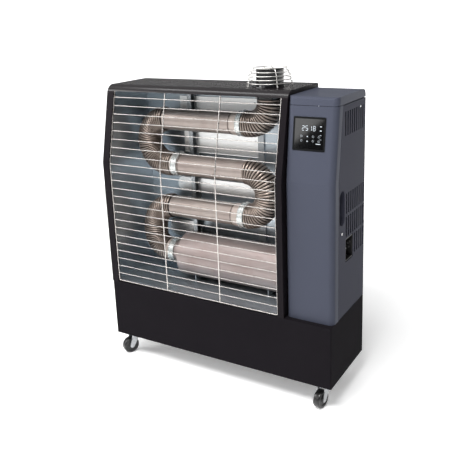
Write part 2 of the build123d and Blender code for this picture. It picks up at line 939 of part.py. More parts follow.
def ribbed_bend(runs):
    """A ribbed metal bend that follows the runs, with plain cuffs and an even bore."""
    total = sum(length for kind, length, data in runs)
    ribs = int((total - 2 * hose_cuff) // rib_pitch)
    pitch = (total - 2 * hose_cuff) / ribs
    stations = [(0.0, hose_root)]
    for rib in range(ribs):
        start = hose_cuff + rib * pitch
        stations += [
            (start, hose_root),
            (start + 0.3 * pitch, hose_crest),
            (start + 0.7 * pitch, hose_crest),
        ]
    stations += [(total - hose_cuff, hose_root), (total, hose_root)]
    rings = [hose_circle(runs, distance, diameter) for distance, diameter in stations]
    bore_steps = max(1, round(total / hose_bore_step))
    bore_rings = [
        hose_circle(runs, total * step / bore_steps, hose_bore) for step in range(bore_steps + 1)
    ]
    with BuildPart() as bend:
        loft(rings, ruled=True)
        loft(bore_rings, ruled=True, mode=Mode.SUBTRACT)
    return bend.part


def u_bend(bend_x, low_z, high_z, side, low_tail, high_tail):
    """Runs of a half-turn bend from the low tube to the high one, out to one side."""
    radius = (high_z - low_z) / 2
    centre = (bend_x, (low_z + high_z) / 2)
    outward = pi if side < 0 else 0.0
    inward = 0.0 if side < 0 else pi
    runs = []
    if low_tail:
        runs.append(("straight", low_tail, ((bend_x - side * low_tail, low_z), outward)))
    runs.append(("round", pi * radius, (centre, radius, -pi / 2, side)))
    if high_tail:
        runs.append(("straight", high_tail, ((bend_x, high_z), inward)))
    return runs


lower_bend_side_x = lower_bend_x - lower_bend_low_radius
lower_straight = lower_tube_z - chamber_z - lower_bend_low_radius - lower_bend_high_radius
lower_runs = [
    (
        "round",
        pi / 2 * lower_bend_low_radius,
        ((lower_bend_x, chamber_z + lower_bend_low_radius), lower_bend_low_radius, -pi / 2, -1),
    ),
    ("straight", lower_straight, ((lower_bend_side_x, chamber_z + lower_bend_low_radius), pi / 2)),
    (
        "round",
        pi / 2 * lower_bend_high_radius,
        ((lower_bend_end_x, lower_tube_z - lower_bend_high_radius), lower_bend_high_radius, pi, -1),
    ),
]
bend_lower_left = ribbed_bend(lower_runs)
save(bend_lower_left, "bend_lower_left")

bend_right = ribbed_bend(u_bend(right_bend_x, lower_tube_z, middle_tube_z, 1, 0.0, 0.0))
save(bend_right, "bend_right")

bend_upper_left = ribbed_bend(
    u_bend(left_bend_x, middle_tube_z, upper_tube_z, -1, left_bend_tail, 0.0)
)
save(bend_upper_left, "bend_upper_left")

outlet_start_x = tube_spans["radiant_tube_upper"][1]
outlet_turn_x = flue_x - outlet_bend_radius
flue_low_z = upper_tube_z + outlet_bend_radius + outlet_rise
outlet_runs = [
    ("straight", outlet_turn_x - outlet_start_x, ((outlet_start_x, upper_tube_z), 0.0)),
    (
        "round",
        pi / 2 * outlet_bend_radius,
        ((outlet_turn_x, upper_tube_z + outlet_bend_radius), outlet_bend_radius, -pi / 2, 1),
    ),
    (
        "straight",
        flue_low_z - upper_tube_z - outlet_bend_radius,
        ((flue_x, upper_tube_z + outlet_bend_radius), pi / 2),
    ),
]
outlet_elbow = ribbed_bend(outlet_runs)
save(outlet_elbow, "outlet_elbow")

# Bright clamps over the tube ends

clamp_places = (
    (lower_bend_x, chamber_z, 1),
    (left_bend_x + left_bend_tail, middle_tube_z, 1),
    (right_bend_x, lower_tube_z, -1),
    (right_bend_x, upper_tube_z, -1),
)

with BuildPart() as hose_clamps:
    for start_x, clamp_z, side in clamp_places:
        low_x = start_x if side > 0 else start_x - clamp_width
        with BuildSketch(Plane.XZ.offset(-tube_y)):
            with BuildLine():
                Polyline(
                    (low_x, clamp_z + tube_diameter / 2),
                    (low_x, clamp_z + tube_diameter / 2 + clamp_rim),
                    (low_x + clamp_rim, clamp_z + tube_diameter / 2 + clamp_rim),
                    (low_x + clamp_rim, clamp_z + tube_diameter / 2 + clamp_band),
                    (low_x + clamp_width - clamp_rim, clamp_z + tube_diameter / 2 + clamp_band),
                    (low_x + clamp_width - clamp_rim, clamp_z + tube_diameter / 2 + clamp_rim),
                    (low_x + clamp_width, clamp_z + tube_diameter / 2 + clamp_rim),
                    (low_x + clamp_width, clamp_z + tube_diameter / 2),
                    close=True,
                )
            make_face()
        revolve(axis=Axis((0, tube_y, clamp_z), (1, 0, 0)))
        ear_z = clamp_z + tube_diameter / 2 + clamp_ear / 2
        with Locations((low_x + clamp_width / 2, tube_y + clamp_ear, ear_z - clamp_band)):
            Box(clamp_ear, 2 * clamp_ear, clamp_ear)
        with Locations(Plane((0, tube_y, clamp_z), z_dir=(1, 0, 0))):
            with Locations((0, 0, low_x + clamp_width / 2)):
                Cylinder(tube_diameter / 2, clamp_width, mode=Mode.SUBTRACT)
save(hose_clamps.part, "hose_clamps")

# Posts behind the tubes, with the saddles and cradles that carry the hot parts

post_front_y = reflector_back_y - post_depth
saddle_places = [
    (left_x + saddle_left_setback, post_front_y),
    (divide_x - saddle_right_setback, reflector_back_y),
]

with BuildPart() as tube_supports:
    for post_x in (left_x + post_left_setback, divide_x - post_right_setback):
        block(
            (post_x - post_width / 2, post_front_y, reflector_floor_z),
            (post_x + post_width / 2, reflector_back_y, reflector_top_z),
        )
        block(
            (post_x - post_width / 2 + post_sheet, post_front_y + post_sheet, reflector_floor_z),
            (post_x + post_width / 2 - post_sheet, reflector_back_y, reflector_top_z),
            mode=Mode.SUBTRACT,
        )
    for saddle_z in (lower_tube_z, middle_tube_z, upper_tube_z):
        for saddle_x, wall_y in saddle_places:
            saddle_start = (saddle_x - saddle_width / 2, tube_y, saddle_z)
            with BuildSketch(Plane(saddle_start, x_dir=(0, 1, 0), z_dir=(1, 0, 0))) as saddle:
                with BuildLine():
                    CenterArc((0, 0), tube_diameter / 2, -saddle_angle, 2 * saddle_angle)
                    CenterArc((0, 0), tube_diameter / 2 + saddle_sheet, -saddle_angle, 2 * saddle_angle)
                    for arm_angle in (-saddle_angle, saddle_angle):
                        arm_cos, arm_sin = cos(radians(arm_angle)), sin(radians(arm_angle))
                        Line(
                            (tube_diameter / 2 * arm_cos, tube_diameter / 2 * arm_sin),
                            (
                                (tube_diameter / 2 + saddle_sheet) * arm_cos,
                                (tube_diameter / 2 + saddle_sheet) * arm_sin,
                            ),
                        )
                make_face()
                arm_start = tube_diameter / 2 + saddle_sheet / 2
                with Locations(((arm_start + wall_y - tube_y) / 2, 0)):
                    Rectangle(wall_y - tube_y - arm_start, 2 * saddle_sheet)
            extrude(saddle.sketch, amount=saddle_width)
    for cradle_x in (left_x + cradle_left_setback, divide_x - cradle_right_setback):
        block(
            (cradle_x, tube_y - cradle_width / 2, reflector_floor_z),
            (cradle_x + cradle_sheet, tube_y + cradle_width / 2, reflector_floor_z + cradle_height),
        )
        with Locations(Plane((cradle_x, tube_y, chamber_z), z_dir=(1, 0, 0))):
            Cylinder(chamber_diameter / 2, 4 * cradle_sheet, mode=Mode.SUBTRACT)
save(tube_supports.part, "tube_supports")

with BuildPart() as heat_shields:
    for left_setback, right_setback, low_rise, high_rise, corner in shield_plates:
        low_x, high_x = left_x + left_setback, divide_x - right_setback
        low_z, high_z = deck_z + low_rise, deck_z + high_rise
        with BuildSketch(Plane.XZ.offset(-post_front_y)) as plate:
            with Locations(((low_x + high_x) / 2, (low_z + high_z) / 2)):
                if corner:
                    RectangleRounded(high_x - low_x, high_z - low_z, corner)
                else:
                    Rectangle(high_x - low_x, high_z - low_z)
        extrude(plate.sketch, amount=shield_sheet)
        if not corner:
            block(
                (low_x, post_front_y - shield_hem, low_z),
                (high_x, post_front_y, low_z + shield_sheet),
            )
save(heat_shields.part, "heat_shields")

# Flue pipe with its collar and the wire guard over its mouth

flue_top_z = hood_top_z + flue_rise
flue_radius = flue_diameter / 2
elbow_seat = hose_bore / 2

with BuildPart() as flue_pipe:
    with BuildSketch(Plane.XZ.offset(-tube_y)):
        with BuildLine():
            Polyline(
                (flue_x + elbow_seat, flue_low_z),
                (flue_x + flue_radius, flue_low_z),
                (flue_x + flue_radius, hood_top_z),
                (flue_x + flue_collar_diameter / 2, hood_top_z),
                (flue_x + flue_collar_diameter / 2, hood_top_z + flue_collar_thickness),
                (flue_x + flue_radius, hood_top_z + flue_collar_thickness),
                (flue_x + flue_radius, flue_top_z),
                (flue_x + flue_radius - flue_wall, flue_top_z),
                (flue_x + flue_radius - flue_wall, flue_low_z + flue_wall),
                (flue_x + elbow_seat, flue_low_z + flue_wall),
                close=True,
            )
        make_face()
    revolve(axis=Axis((flue_x, tube_y, 0), (0, 0, 1)))
save(flue_pipe.part, "flue_pipe")

guard_foot_z = hood_top_z + flue_guard_wire / 2
guard_loop_z = hood_top_z + flue_guard_top_rise + flue_guard_crown
dome_points = (
    (flue_guard_low_radius + flue_guard_foot, guard_foot_z),
    (flue_guard_low_radius, guard_foot_z),
    (flue_guard_low_radius - flue_guard_shoulder_inset, hood_top_z + flue_guard_shoulder_rise),
    (flue_guard_top_radius, hood_top_z + flue_guard_top_rise),
    (flue_guard_loop / 2, guard_loop_z),
)


def dome_radius(z):
    """How far a guard leg stands from the flue's axis at height z."""
    for (near_radius, near_z), (far_radius, far_z) in zip(dome_points[1:], dome_points[2:]):
        if z <= far_z:
            return near_radius + (far_radius - near_radius) * (z - near_z) / (far_z - near_z)
    return flue_guard_loop / 2


def guard_ring(outer_radius, z):
    """One level ring of the dome, with flat sides and a corner at each leg."""
    with BuildSketch(Plane.XY.offset(z - flue_guard_band / 2)) as ring:
        with Locations((flue_x, tube_y)):
            RegularPolygon(outer_radius, flue_guard_ring_sides)
            RegularPolygon(outer_radius - flue_guard_band, flue_guard_ring_sides, mode=Mode.SUBTRACT)
    extrude(ring.sketch, amount=flue_guard_band)


with BuildPart() as flue_guard:
    for leg in range(flue_guard_legs):
        turn = radians(flue_guard_turn + leg * 360.0 / flue_guard_legs)
        with BuildLine() as leg_line:
            FilletPolyline(
                *[
                    (flue_x + reach * cos(turn), tube_y + reach * sin(turn), level)
                    for reach, level in dome_points
                ],
                radius=flue_guard_bends,
            )
        start = leg_line.line @ 0
        with BuildSketch(Plane(start, x_dir=(0, 0, 1), z_dir=leg_line.line % 0)) as wire:
            RegularPolygon(flue_guard_wire / 2, guard_wire_sides)
        sweep(wire.sketch, path=leg_line.line)
    ring_step = (flue_guard_top_rise - flue_guard_low_rise) / (flue_guard_rings - 1)
    for ring in range(flue_guard_rings):
        ring_z = hood_top_z + flue_guard_low_rise + ring * ring_step
        ring_radius = dome_radius(ring_z) + flue_guard_wire - 2 * guard_bite
        guard_ring(ring_radius + flue_guard_band / 2, ring_z)
    guard_ring(flue_guard_loop / 2 + flue_guard_band / 2, guard_loop_z)
save(flue_guard.part, "flue_guard")

# Burner column

lean_dir = (0, column_slope, 1)
lean_stretch = (1 + column_slope**2) ** 0.5
column_near_y = front_y + column_setback
wrap_rear_y = column_near_y + column_wrap_depth


def column_plan(z, inset, rear_y):
    """The column's plan at height z, drawn smaller by inset, back to rear_y."""
    near_y = column_face_y(z) + inset
    with BuildSketch(Plane.XY.offset(z)) as plan:
        with Locations(((column_left_x + right_x) / 2, (near_y + rear_y) / 2)):
            Rectangle(column_width - 2 * inset, rear_y - near_y)
        fillet(plan.vertices().group_by(Axis.Y)[0], column_corner - inset)
    return plan.sketch


def column_rod(low_x, high_x, near_y, far_y, high_z):
    """A strip that stands behind the column's front and leans with it."""
    with BuildSketch(Plane.XY.offset(deck_z)) as lower:
        with Locations(((low_x + high_x) / 2, (near_y + far_y) / 2)):
            Rectangle(high_x - low_x, far_y - near_y)
    extrude(lower.sketch, amount=bulge_z - deck_z)
    with BuildSketch(Plane.XY.offset(bulge_z)) as upper:
        with Locations(((low_x + high_x) / 2, (near_y + far_y) / 2)):
            Rectangle(high_x - low_x, far_y - near_y)
    extrude(upper.sketch, amount=(high_z - bulge_z) * lean_stretch, dir=lean_dir)


display_x = right_x - column_width / 2 - display_shift
display_z = seam_z - display_drop
display_angle = degrees(acos(1 / (1 + column_slope**2) ** 0.5))
display_plane = Plane(
    (display_x, column_face_y(display_z), display_z),
    x_dir=(1, 0, 0),
    z_dir=(0, -cos(radians(display_angle)), sin(radians(display_angle))),
)

with BuildPart() as column_front:
    extrude(column_plan(deck_z, 0.0, wrap_rear_y), amount=bulge_z - deck_z)
    extrude(column_plan(bulge_z, 0.0, wrap_rear_y), amount=(seam_z - bulge_z) * lean_stretch, dir=lean_dir)
    hollow_rear_y = wrap_rear_y + overshoot
    extrude(column_plan(deck_z, sheet, hollow_rear_y), amount=bulge_z - deck_z, mode=Mode.SUBTRACT)
    extrude(
        column_plan(bulge_z, sheet, hollow_rear_y),
        amount=(seam_z - bulge_z) * lean_stretch,
        dir=lean_dir,
        mode=Mode.SUBTRACT,
    )
    column_rod(right_x - sheet - door_fold, right_x - sheet, wrap_rear_y - sheet, wrap_rear_y, seam_z)
    with BuildSketch(display_plane) as window:
        Rectangle(display_width - 2 * display_frame, display_height - 2 * display_frame)
    extrude(window.sketch, amount=3 * sheet, both=True, mode=Mode.SUBTRACT)
save(column_front.part, "column_front")


def cap_form(inset, low_z):
    """The cap over the column as a solid, drawn smaller by inset."""
    with BuildPart() as form:
        with BuildSketch(Plane.YZ.offset(column_left_x + inset)) as outline:
            with BuildLine():
                Polyline(
                    (column_face_y(low_z) + inset * lean_stretch, low_z),
                    (column_face_y(column_top_z - inset) + inset * lean_stretch, column_top_z - inset),
                    (back_y - inset, column_top_z - inset),
                    (back_y - inset, low_z),
                    close=True,
                )
            make_face()
            front_corner = outline.vertices().group_by(Axis.Y)[-1].sort_by(Axis.X)[0]
            fillet(front_corner, column_top_roll - inset)
            rear_corner = outline.vertices().group_by(Axis.Y)[-1].sort_by(Axis.X)[-1]
            fillet(rear_corner, column_rear_radius - inset)
        extrude(amount=column_width - 2 * inset)
        extrude(
            column_plan(low_z, inset, back_y + overshoot),
            amount=(column_top_z - low_z) * lean_stretch,
            dir=lean_dir,
            mode=Mode.INTERSECT,
        )
    return form.part


with BuildPart() as column_cap:
    add(cap_form(0.0, seam_z + column_seam_gap))
    add(cap_form(sheet, seam_z - overshoot), mode=Mode.SUBTRACT)
save(column_cap.part, "column_cap")

jamb_x = hinge_x - door_swing_room
back_inner_y = back_y - 2 * sheet

with BuildPart() as column_back:
    block((column_left_x + sheet, back_inner_y, deck_z), (jamb_x, back_y - sheet, seam_z + cap_overlap))
    block((jamb_x - sheet, back_inner_y - door_fold, deck_z), (jamb_x, back_inner_y, seam_z - overshoot))
    block(
        (jamb_x - sheet, hinge_y - hinge_pin, seam_z + column_seam_gap),
        (right_x - 2 * sheet, back_y - sheet, seam_z + column_seam_gap + sheet),
    )
    with Locations((hinge_x, hinge_y, seam_z + column_seam_gap)):
        Cylinder(hinge_pin / 2, hinge_pin_length, align=(Align.CENTER, Align.CENTER, Align.MAX))
    with BuildSketch(Plane.XZ.offset(-back_y)):
        with Locations(((column_left_x + jamb_x) / 2, deck_z + column_louvre_rise)):
            with GridLocations(1.0, louvre_pitch, 1, column_louvre_rows):
                Rectangle(column_louvre, louvre_height)
    extrude(amount=4 * sheet, both=True, mode=Mode.SUBTRACT)
save(column_back.part, "column_back")

# Side door with its vents, pull and lock

door_low_z = deck_z + door_gap
door_high_z = seam_z - door_gap
door_front_y = wrap_rear_y + door_gap
pull_y = front_y + pull_front
pull_z = deck_z + pull_level
lock_y = front_y + lock_setback
lock_z = deck_z + lock_level
inlet_y = front_y + inlet_setback
inlet_z = deck_z + inlet_level


def vent_group(front, low_z, height, first, columns):
    """One row of upright slots through the door, from the column named first."""
    with BuildSketch(Plane.YZ.offset(right_x)) as slots:
        start_y = front_y + front + first * vent_pitch
        with Locations((start_y + (columns - 1) * vent_pitch / 2, low_z + height / 2)):
            with GridLocations(vent_pitch, 1.0, columns, 1):
                Rectangle(vent_slot, height)
    extrude(slots.sketch, amount=2 * sheet, both=True, mode=Mode.SUBTRACT)


with BuildPart() as column_door:
    door_lean_y = door_front_y + (door_high_z - bulge_z) * column_slope
    with BuildSketch(Plane.YZ.offset(right_x - door_fold)) as outline:
        with BuildLine():
            Polyline(
                (door_front_y, door_low_z),
                (door_front_y, bulge_z),
                (door_lean_y, door_high_z),
                (back_y, door_high_z),
                (back_y, door_low_z),
                close=True,
            )
        make_face()
    extrude(outline.sketch, amount=door_fold)
    with BuildSketch(Plane.YZ.offset(right_x - door_fold)) as hollow:
        add(outline.sketch_local)
        offset(amount=-sheet, mode=Mode.REPLACE)
    extrude(hollow.sketch, amount=door_fold - sheet, mode=Mode.SUBTRACT)
    with Locations((hinge_x, hinge_y, door_high_z)):
        Cylinder(
            hinge_pin / 2 + running_clearance,
            2 * (door_high_z - door_low_z) + 4 * overshoot,
            mode=Mode.SUBTRACT,
        )
    vent_group(upper_vent_front, deck_z + upper_vent_low, upper_vent_height, 0, vent_columns)
    for row in range(middle_vent_rows):
        skipped = inlet_columns if row == 0 else 0
        row_z = deck_z + middle_vent_low + row * middle_vent_step
        vent_group(middle_vent_front, row_z, middle_vent_height, skipped, vent_columns - skipped)
    with BuildSketch(Plane.YZ.offset(right_x)) as cuts:
        with Locations((inlet_y, inlet_z)):
            Rectangle(inlet_width, inlet_height)
        with Locations((lock_y, lock_z)):
            Circle(lock_barrel / 2)
        with Locations((pull_y, pull_z)):
            SlotOverall(pull_height, pull_width, rotation=90)
    extrude(cuts.sketch, amount=2 * sheet, both=True, mode=Mode.SUBTRACT)
    with BuildSketch(Plane.YZ.offset(right_x - pull_depth)) as cup:
        with Locations((pull_y, pull_z)):
            SlotOverall(pull_height, pull_width, rotation=90)
    extrude(cup.sketch, amount=pull_depth)
    with BuildSketch(Plane.YZ.offset(right_x - pull_depth + pull_wall)) as cup_hollow:
        with Locations((pull_y, pull_z)):
            SlotOverall(pull_height - 2 * pull_wall, pull_width - 2 * pull_wall, rotation=90)
    extrude(cup_hollow.sketch, amount=pull_depth, mode=Mode.SUBTRACT)
    with Locations(Plane((right_x - lock_length, lock_y, lock_z), z_dir=(1, 0, 0))):
        Cylinder(lock_barrel / 2, lock_length + lock_rise, align=from_end)
        with Locations((0, 0, lock_length)):
            Cylinder(lock_radius, lock_rise, align=from_end)
        Cylinder(lock_plug / 2 + running_clearance, 2 * lock_length, align=from_end, mode=Mode.SUBTRACT)
save(column_door.part, "column_door")

with BuildPart() as lock_cam:
    plug_low_x = right_x - lock_length - cam_sheet - swivel_gap
    with Locations(Plane((plug_low_x, lock_y, lock_z), z_dir=(1, 0, 0))):
        Cylinder(lock_plug / 2, right_x + lock_rise - plug_low_x, align=from_end)
    with BuildSketch(Plane.YZ.offset(plug_low_x)) as cam:
        with Locations((lock_y, lock_z - cam_reach / 2 + cam_width / 2)):
            SlotOverall(cam_reach, cam_width, rotation=90)
    extrude(cam.sketch, amount=cam_sheet)
    block(
        (
            right_x + lock_rise - key_slot_depth,
            lock_y - key_slot_width / 2,
            lock_z - key_slot_height / 2,
        ),
        (
            right_x + lock_rise + overshoot,
            lock_y + key_slot_width / 2,
            lock_z + key_slot_height / 2,
        ),
        mode=Mode.SUBTRACT,
    )
save(lock_cam.part, "lock_cam")

bracket_x = right_x - sheet - inlet_body
inlet_half_y = inlet_width / 2 - inlet_play
inlet_half_z = inlet_height / 2 - inlet_play
socket_half_y = inlet_half_y - inlet_rim
socket_half_z = inlet_half_z - inlet_rim
inlet_pins = (
    (-inlet_pin_spacing, inlet_pin_high),
    (inlet_pin_spacing, inlet_pin_high),
    (0.0, inlet_pin_low),
)

with BuildPart() as power_inlet:
    block(
        (bracket_x - sheet, inlet_y - inlet_width / 2, deck_z),
        (bracket_x, inlet_y + inlet_width / 2, inlet_z + inlet_height / 2),
    )
    block(
        (bracket_x - sheet, inlet_y - inlet_width / 2, deck_z),
        (bracket_x + door_fold, inlet_y + inlet_width / 2, deck_z + sheet),
    )
    block(
        (bracket_x, inlet_y - inlet_half_y, inlet_z - inlet_half_z),
        (right_x - sheet, inlet_y + inlet_half_y, inlet_z + inlet_half_z),
    )
    block(
        (right_x - sheet - inlet_socket_depth, inlet_y - socket_half_y, inlet_z - socket_half_z),
        (right_x, inlet_y + socket_half_y, inlet_z + socket_half_z),
        mode=Mode.SUBTRACT,
    )
    for pin_y, pin_z in inlet_pins:
        with Locations((right_x - sheet - inlet_socket_depth / 2, inlet_y + pin_y, inlet_z + pin_z)):
            Box(inlet_socket_depth, inlet_pin_width, inlet_pin_height)
save(power_inlet.part, "power_inlet")

# Display in the column's leaning front

with BuildPart() as display_bezel:
    with BuildSketch(display_plane) as rim:
        RectangleRounded(display_width, display_height, bezel_corner)
    extrude(rim.sketch, amount=bezel_rise)
    with BuildSketch(display_plane) as skirt:
        Rectangle(display_width - 2 * display_frame, display_height - 2 * display_frame)
    extrude(skirt.sketch, amount=-bezel_depth)
    with BuildSketch(display_plane.offset(bezel_rise)) as seat:
        Rectangle(display_width - 4 * display_frame, display_height - 4 * display_frame)
    extrude(seat.sketch, amount=-display_glass, mode=Mode.SUBTRACT)
save(display_bezel.part, "display_bezel")

with BuildPart() as display_glass_plate:
    with BuildSketch(display_plane.offset(bezel_rise - display_glass)) as pane:
        Rectangle(display_width - 4 * display_frame, display_height - 4 * display_frame)
    extrude(pane.sketch, amount=display_glass)
save(display_glass_plate.part, "display_glass")

# Burner behind the chamber: plenum, gun, fan and fuel parts

plenum_x = chamber_right_x
plenum_end_x = plenum_x + plenum_length
fan_x = plenum_end_x - blower_width - plenum_shoulder
fan_z = deck_z + blower_rise
plenum_top_z = chamber_z + plenum_diameter / 2

with BuildPart() as burner_plenum:
    with Locations(Plane((plenum_x, tube_y, chamber_z), z_dir=(1, 0, 0))):
        Cylinder(chamber_flange / 2, chamber_flange_thickness, align=from_end)
        Cylinder(plenum_diameter / 2, plenum_length, align=from_end)
    block(
        (fan_x, tube_y - duct_width / 2, chamber_z),
        (fan_x + blower_width, tube_y + duct_width / 2, plenum_top_z + sheet),
    )
    with Locations(Plane((plenum_x, tube_y, chamber_z), z_dir=(1, 0, 0))):
        Cylinder(blast_tube / 2, 4 * chamber_flange_thickness, mode=Mode.SUBTRACT)
        with Locations((0, 0, chamber_flange_thickness)):
            Cylinder(
                plenum_diameter / 2 - sheet,
                plenum_length - chamber_flange_thickness - sheet,
                align=from_end,
                mode=Mode.SUBTRACT,
            )
    block(
        (fan_x + sheet, tube_y - duct_width / 2 + sheet, chamber_z),
        (fan_x + blower_width - sheet, tube_y + duct_width / 2 - sheet, plenum_top_z + overshoot),
        mode=Mode.SUBTRACT,
    )
save(burner_plenum.part, "burner_plenum")

head_x = plenum_x + chamber_flange_thickness
disc_x = head_x - flame_disc_place
disc_half_y = blast_tube / 2 - sheet / 2

with BuildPart() as burner_head:
    ring_bar((head_x, tube_y, chamber_z), (-1, 0, 0), blast_tube, blast_tube - 2 * sheet, blast_length)
    block(
        (disc_x, tube_y - disc_half_y, chamber_z - flame_disc_half_height),
        (disc_x + sheet, tube_y + disc_half_y, chamber_z + flame_disc_half_height),
    )
    with Locations(Plane((head_x - nozzle_place, tube_y, chamber_z), z_dir=(1, 0, 0))):
        Cylinder(nozzle_radius, plenum_end_x - sheet - head_x + nozzle_place, align=from_end)
    for side in (-1, 1):
        rod_start = (head_x - electrode_place, tube_y + side * electrode_spacing, chamber_z)
        with Locations(Plane(rod_start, z_dir=(1, 0, 0))):
            Cylinder(electrode_radius, electrode_length, align=from_end)
save(burner_head.part, "burner_head")


def volute(x, inset):
    """The fan housing's scroll and outlet on a plane across x, drawn smaller by inset."""
    with BuildSketch(Plane.YZ.offset(x)) as scroll:
        with Locations((tube_y, fan_z)):
            Circle(blower_radius - inset)
        with Locations((tube_y, (fan_z + plenum_top_z + sheet) / 2)):
            Rectangle(duct_width - 2 * inset, fan_z - plenum_top_z - sheet)
    return scroll.sketch


with BuildPart() as blower_housing:
    extrude(volute(fan_x, 0.0), amount=blower_width)
    extrude(volute(fan_x + sheet, sheet), amount=blower_width - 2 * sheet, mode=Mode.SUBTRACT)
    with Locations(Plane((fan_x + blower_width, tube_y, fan_z), z_dir=(1, 0, 0))):
        Cylinder(blower_eye, 4 * sheet, mode=Mode.SUBTRACT)
    with Locations(Plane((fan_x, tube_y, fan_z), z_dir=(1, 0, 0))):
        Cylinder(motor_shaft / 2 + motor_shaft_play, 4 * sheet, mode=Mode.SUBTRACT)
save(blower_housing.part, "blower_housing")

with BuildPart() as blower_motor:
    with Locations(Plane((fan_x - motor_length, tube_y, fan_z), z_dir=(1, 0, 0))):
        Cylinder(motor_diameter / 2, motor_length, align=from_end)
        Cylinder(motor_shaft / 2, motor_length + blower_width - motor_shaft_gap, align=from_end)
save(blower_motor.part, "blower_motor")

impeller_x = fan_x + impeller_near_gap
impeller_length = blower_width - impeller_near_gap - impeller_far_gap

with BuildPart() as impeller:
    with Locations(Plane((impeller_x, tube_y, fan_z), z_dir=(1, 0, 0))):
        Cylinder(impeller_radius, sheet, align=from_end)
        Cylinder(impeller_hub, impeller_length / 2, align=from_end)
    with BuildSketch(Plane.YZ.offset(impeller_x)) as blades:
        with Locations((tube_y, fan_z)):
            with PolarLocations(impeller_radius - blade_chord / 2, impeller_blades):
                Rectangle(blade_chord, blade_sheet, rotation=blade_angle)
    extrude(blades.sketch, amount=impeller_length)
    with BuildSketch(Plane.YZ.offset(impeller_x + impeller_length - sheet)) as shroud:
        with Locations((tube_y, fan_z)):
            Circle(impeller_radius)
            Circle(impeller_radius - blade_chord, mode=Mode.SUBTRACT)
    extrude(shroud.sketch, amount=sheet)
    with Locations(Plane((impeller_x, tube_y, fan_z), z_dir=(1, 0, 0))):
        Cylinder(motor_shaft / 2 + running_clearance, 2 * impeller_length, mode=Mode.SUBTRACT)
save(impeller.part, "impeller")

pump_x = column_left_x + pump_place
pump_y = front_y + column_setback + pump_place

with BuildPart() as fuel_pump:
    with Locations((pump_x, pump_y, deck_z)):
        Box(pump_size, pump_size, pump_size, align=from_end)
        with Locations((0, 0, pump_size)):
            Cylinder(pump_motor_radius, pump_size, align=from_end)
save(fuel_pump.part, "fuel_pump")

filter_x = pump_x + filter_spacing

with BuildPart() as fuel_filter:
    with Locations((filter_x, pump_y, deck_z)):
        Box(filter_diameter, filter_diameter, filter_base, align=from_end)
        with Locations((0, 0, filter_base)):
            Cylinder(filter_diameter / 2, filter_height, align=from_end)
save(fuel_filter.part, "fuel_filter")


def fuel_line(points, bend):
    """A thin fuel pipe along points, with round bends."""
    with BuildLine() as route:
        FilletPolyline(*points, radius=bend)
    start = route.line @ 0
    with BuildSketch(Plane(start, z_dir=route.line % 0)) as section:
        RegularPolygon(fuel_pipe / 2, guard_wire_sides)
    sweep(section.sketch, path=route.line)


filter_top_z = deck_z + filter_base + filter_height
line_high_z = filter_top_z + pipe_stub
bridge_z = deck_z + pipe_bridge_rise
cross_y = pump_y + pipe_crossing
nozzle_x = (plenum_end_x + bracket_x - sheet) / 2

with BuildPart() as fuel_lines:
    fuel_line(
        (
            (pickup_x, pickup_y, tank_z + pipe_stub),
            (pickup_x, pickup_y, bridge_z),
            (pickup_x, pump_y + filter_diameter, bridge_z),
            (filter_x, pump_y + filter_diameter, bridge_z),
            (filter_x, pump_y + filter_diameter / 2, bridge_z),
        ),
        pipe_bend,
    )
    fuel_line(
        (
            (filter_x, pump_y, filter_top_z),
            (filter_x, pump_y, line_high_z),
            (pump_x, pump_y, line_high_z),
            (pump_x, pump_y, deck_z + 2 * pump_size),
        ),
        pipe_bend,
    )
    fuel_line(
        (
            (pump_x, pump_y + pump_size / 2, deck_z + pump_size / 2),
            (pump_x, cross_y, deck_z + pump_size / 2),
            (nozzle_x, cross_y, deck_z + pump_size / 2),
            (nozzle_x, cross_y, chamber_z),
            (nozzle_x, tube_y, chamber_z),
            (plenum_end_x, tube_y, chamber_z),
        ),
        pipe_bend,
    )
save(fuel_lines.part, "fuel_lines")

transformer_y = wrap_rear_y + transformer_play
transformer_z = chamber_z + chamber_flange / 2 + transformer_play
transformer_far_x = divide_x + transformer_depth

with BuildPart() as ignition_transformer:
    block(
        (divide_x, transformer_y, transformer_z),
        (transformer_far_x, transformer_y + transformer_width, transformer_z + transformer_height),
    )
save(ignition_transformer.part, "ignition_transformer")

board_y = tube_y - board_front_place
board_low_z = deck_z + board_rise
board_x = divide_x + board_standoff
board_face_x = board_x + board_thickness

with BuildPart() as control_board:
    block(
        (divide_x, board_y, board_low_z),
        (board_x, board_y + board_width, board_low_z + board_height),
    )
    block(
        (board_x, board_y + board_inset, board_low_z + board_inset),
        (board_face_x, board_y + board_width - board_inset, board_low_z + board_height - board_inset),
    )
    for chip_y, chip_z, size_y, size_z, rise in board_chips:
        block(
            (board_face_x, board_y + chip_y - size_y / 2, board_low_z + chip_z - size_z / 2),
            (board_face_x + rise, board_y + chip_y + size_y / 2, board_low_z + chip_z + size_z / 2),
        )
save(control_board.part, "control_board")

# Casters

wheel_z = wheel_diameter / 2
leg_inner = wheel_width / 2 + fork_play
leg_outer = leg_inner + fork_sheet
crown_z = caster_height - caster_plate - race_height - swivel_gap - crown_sheet

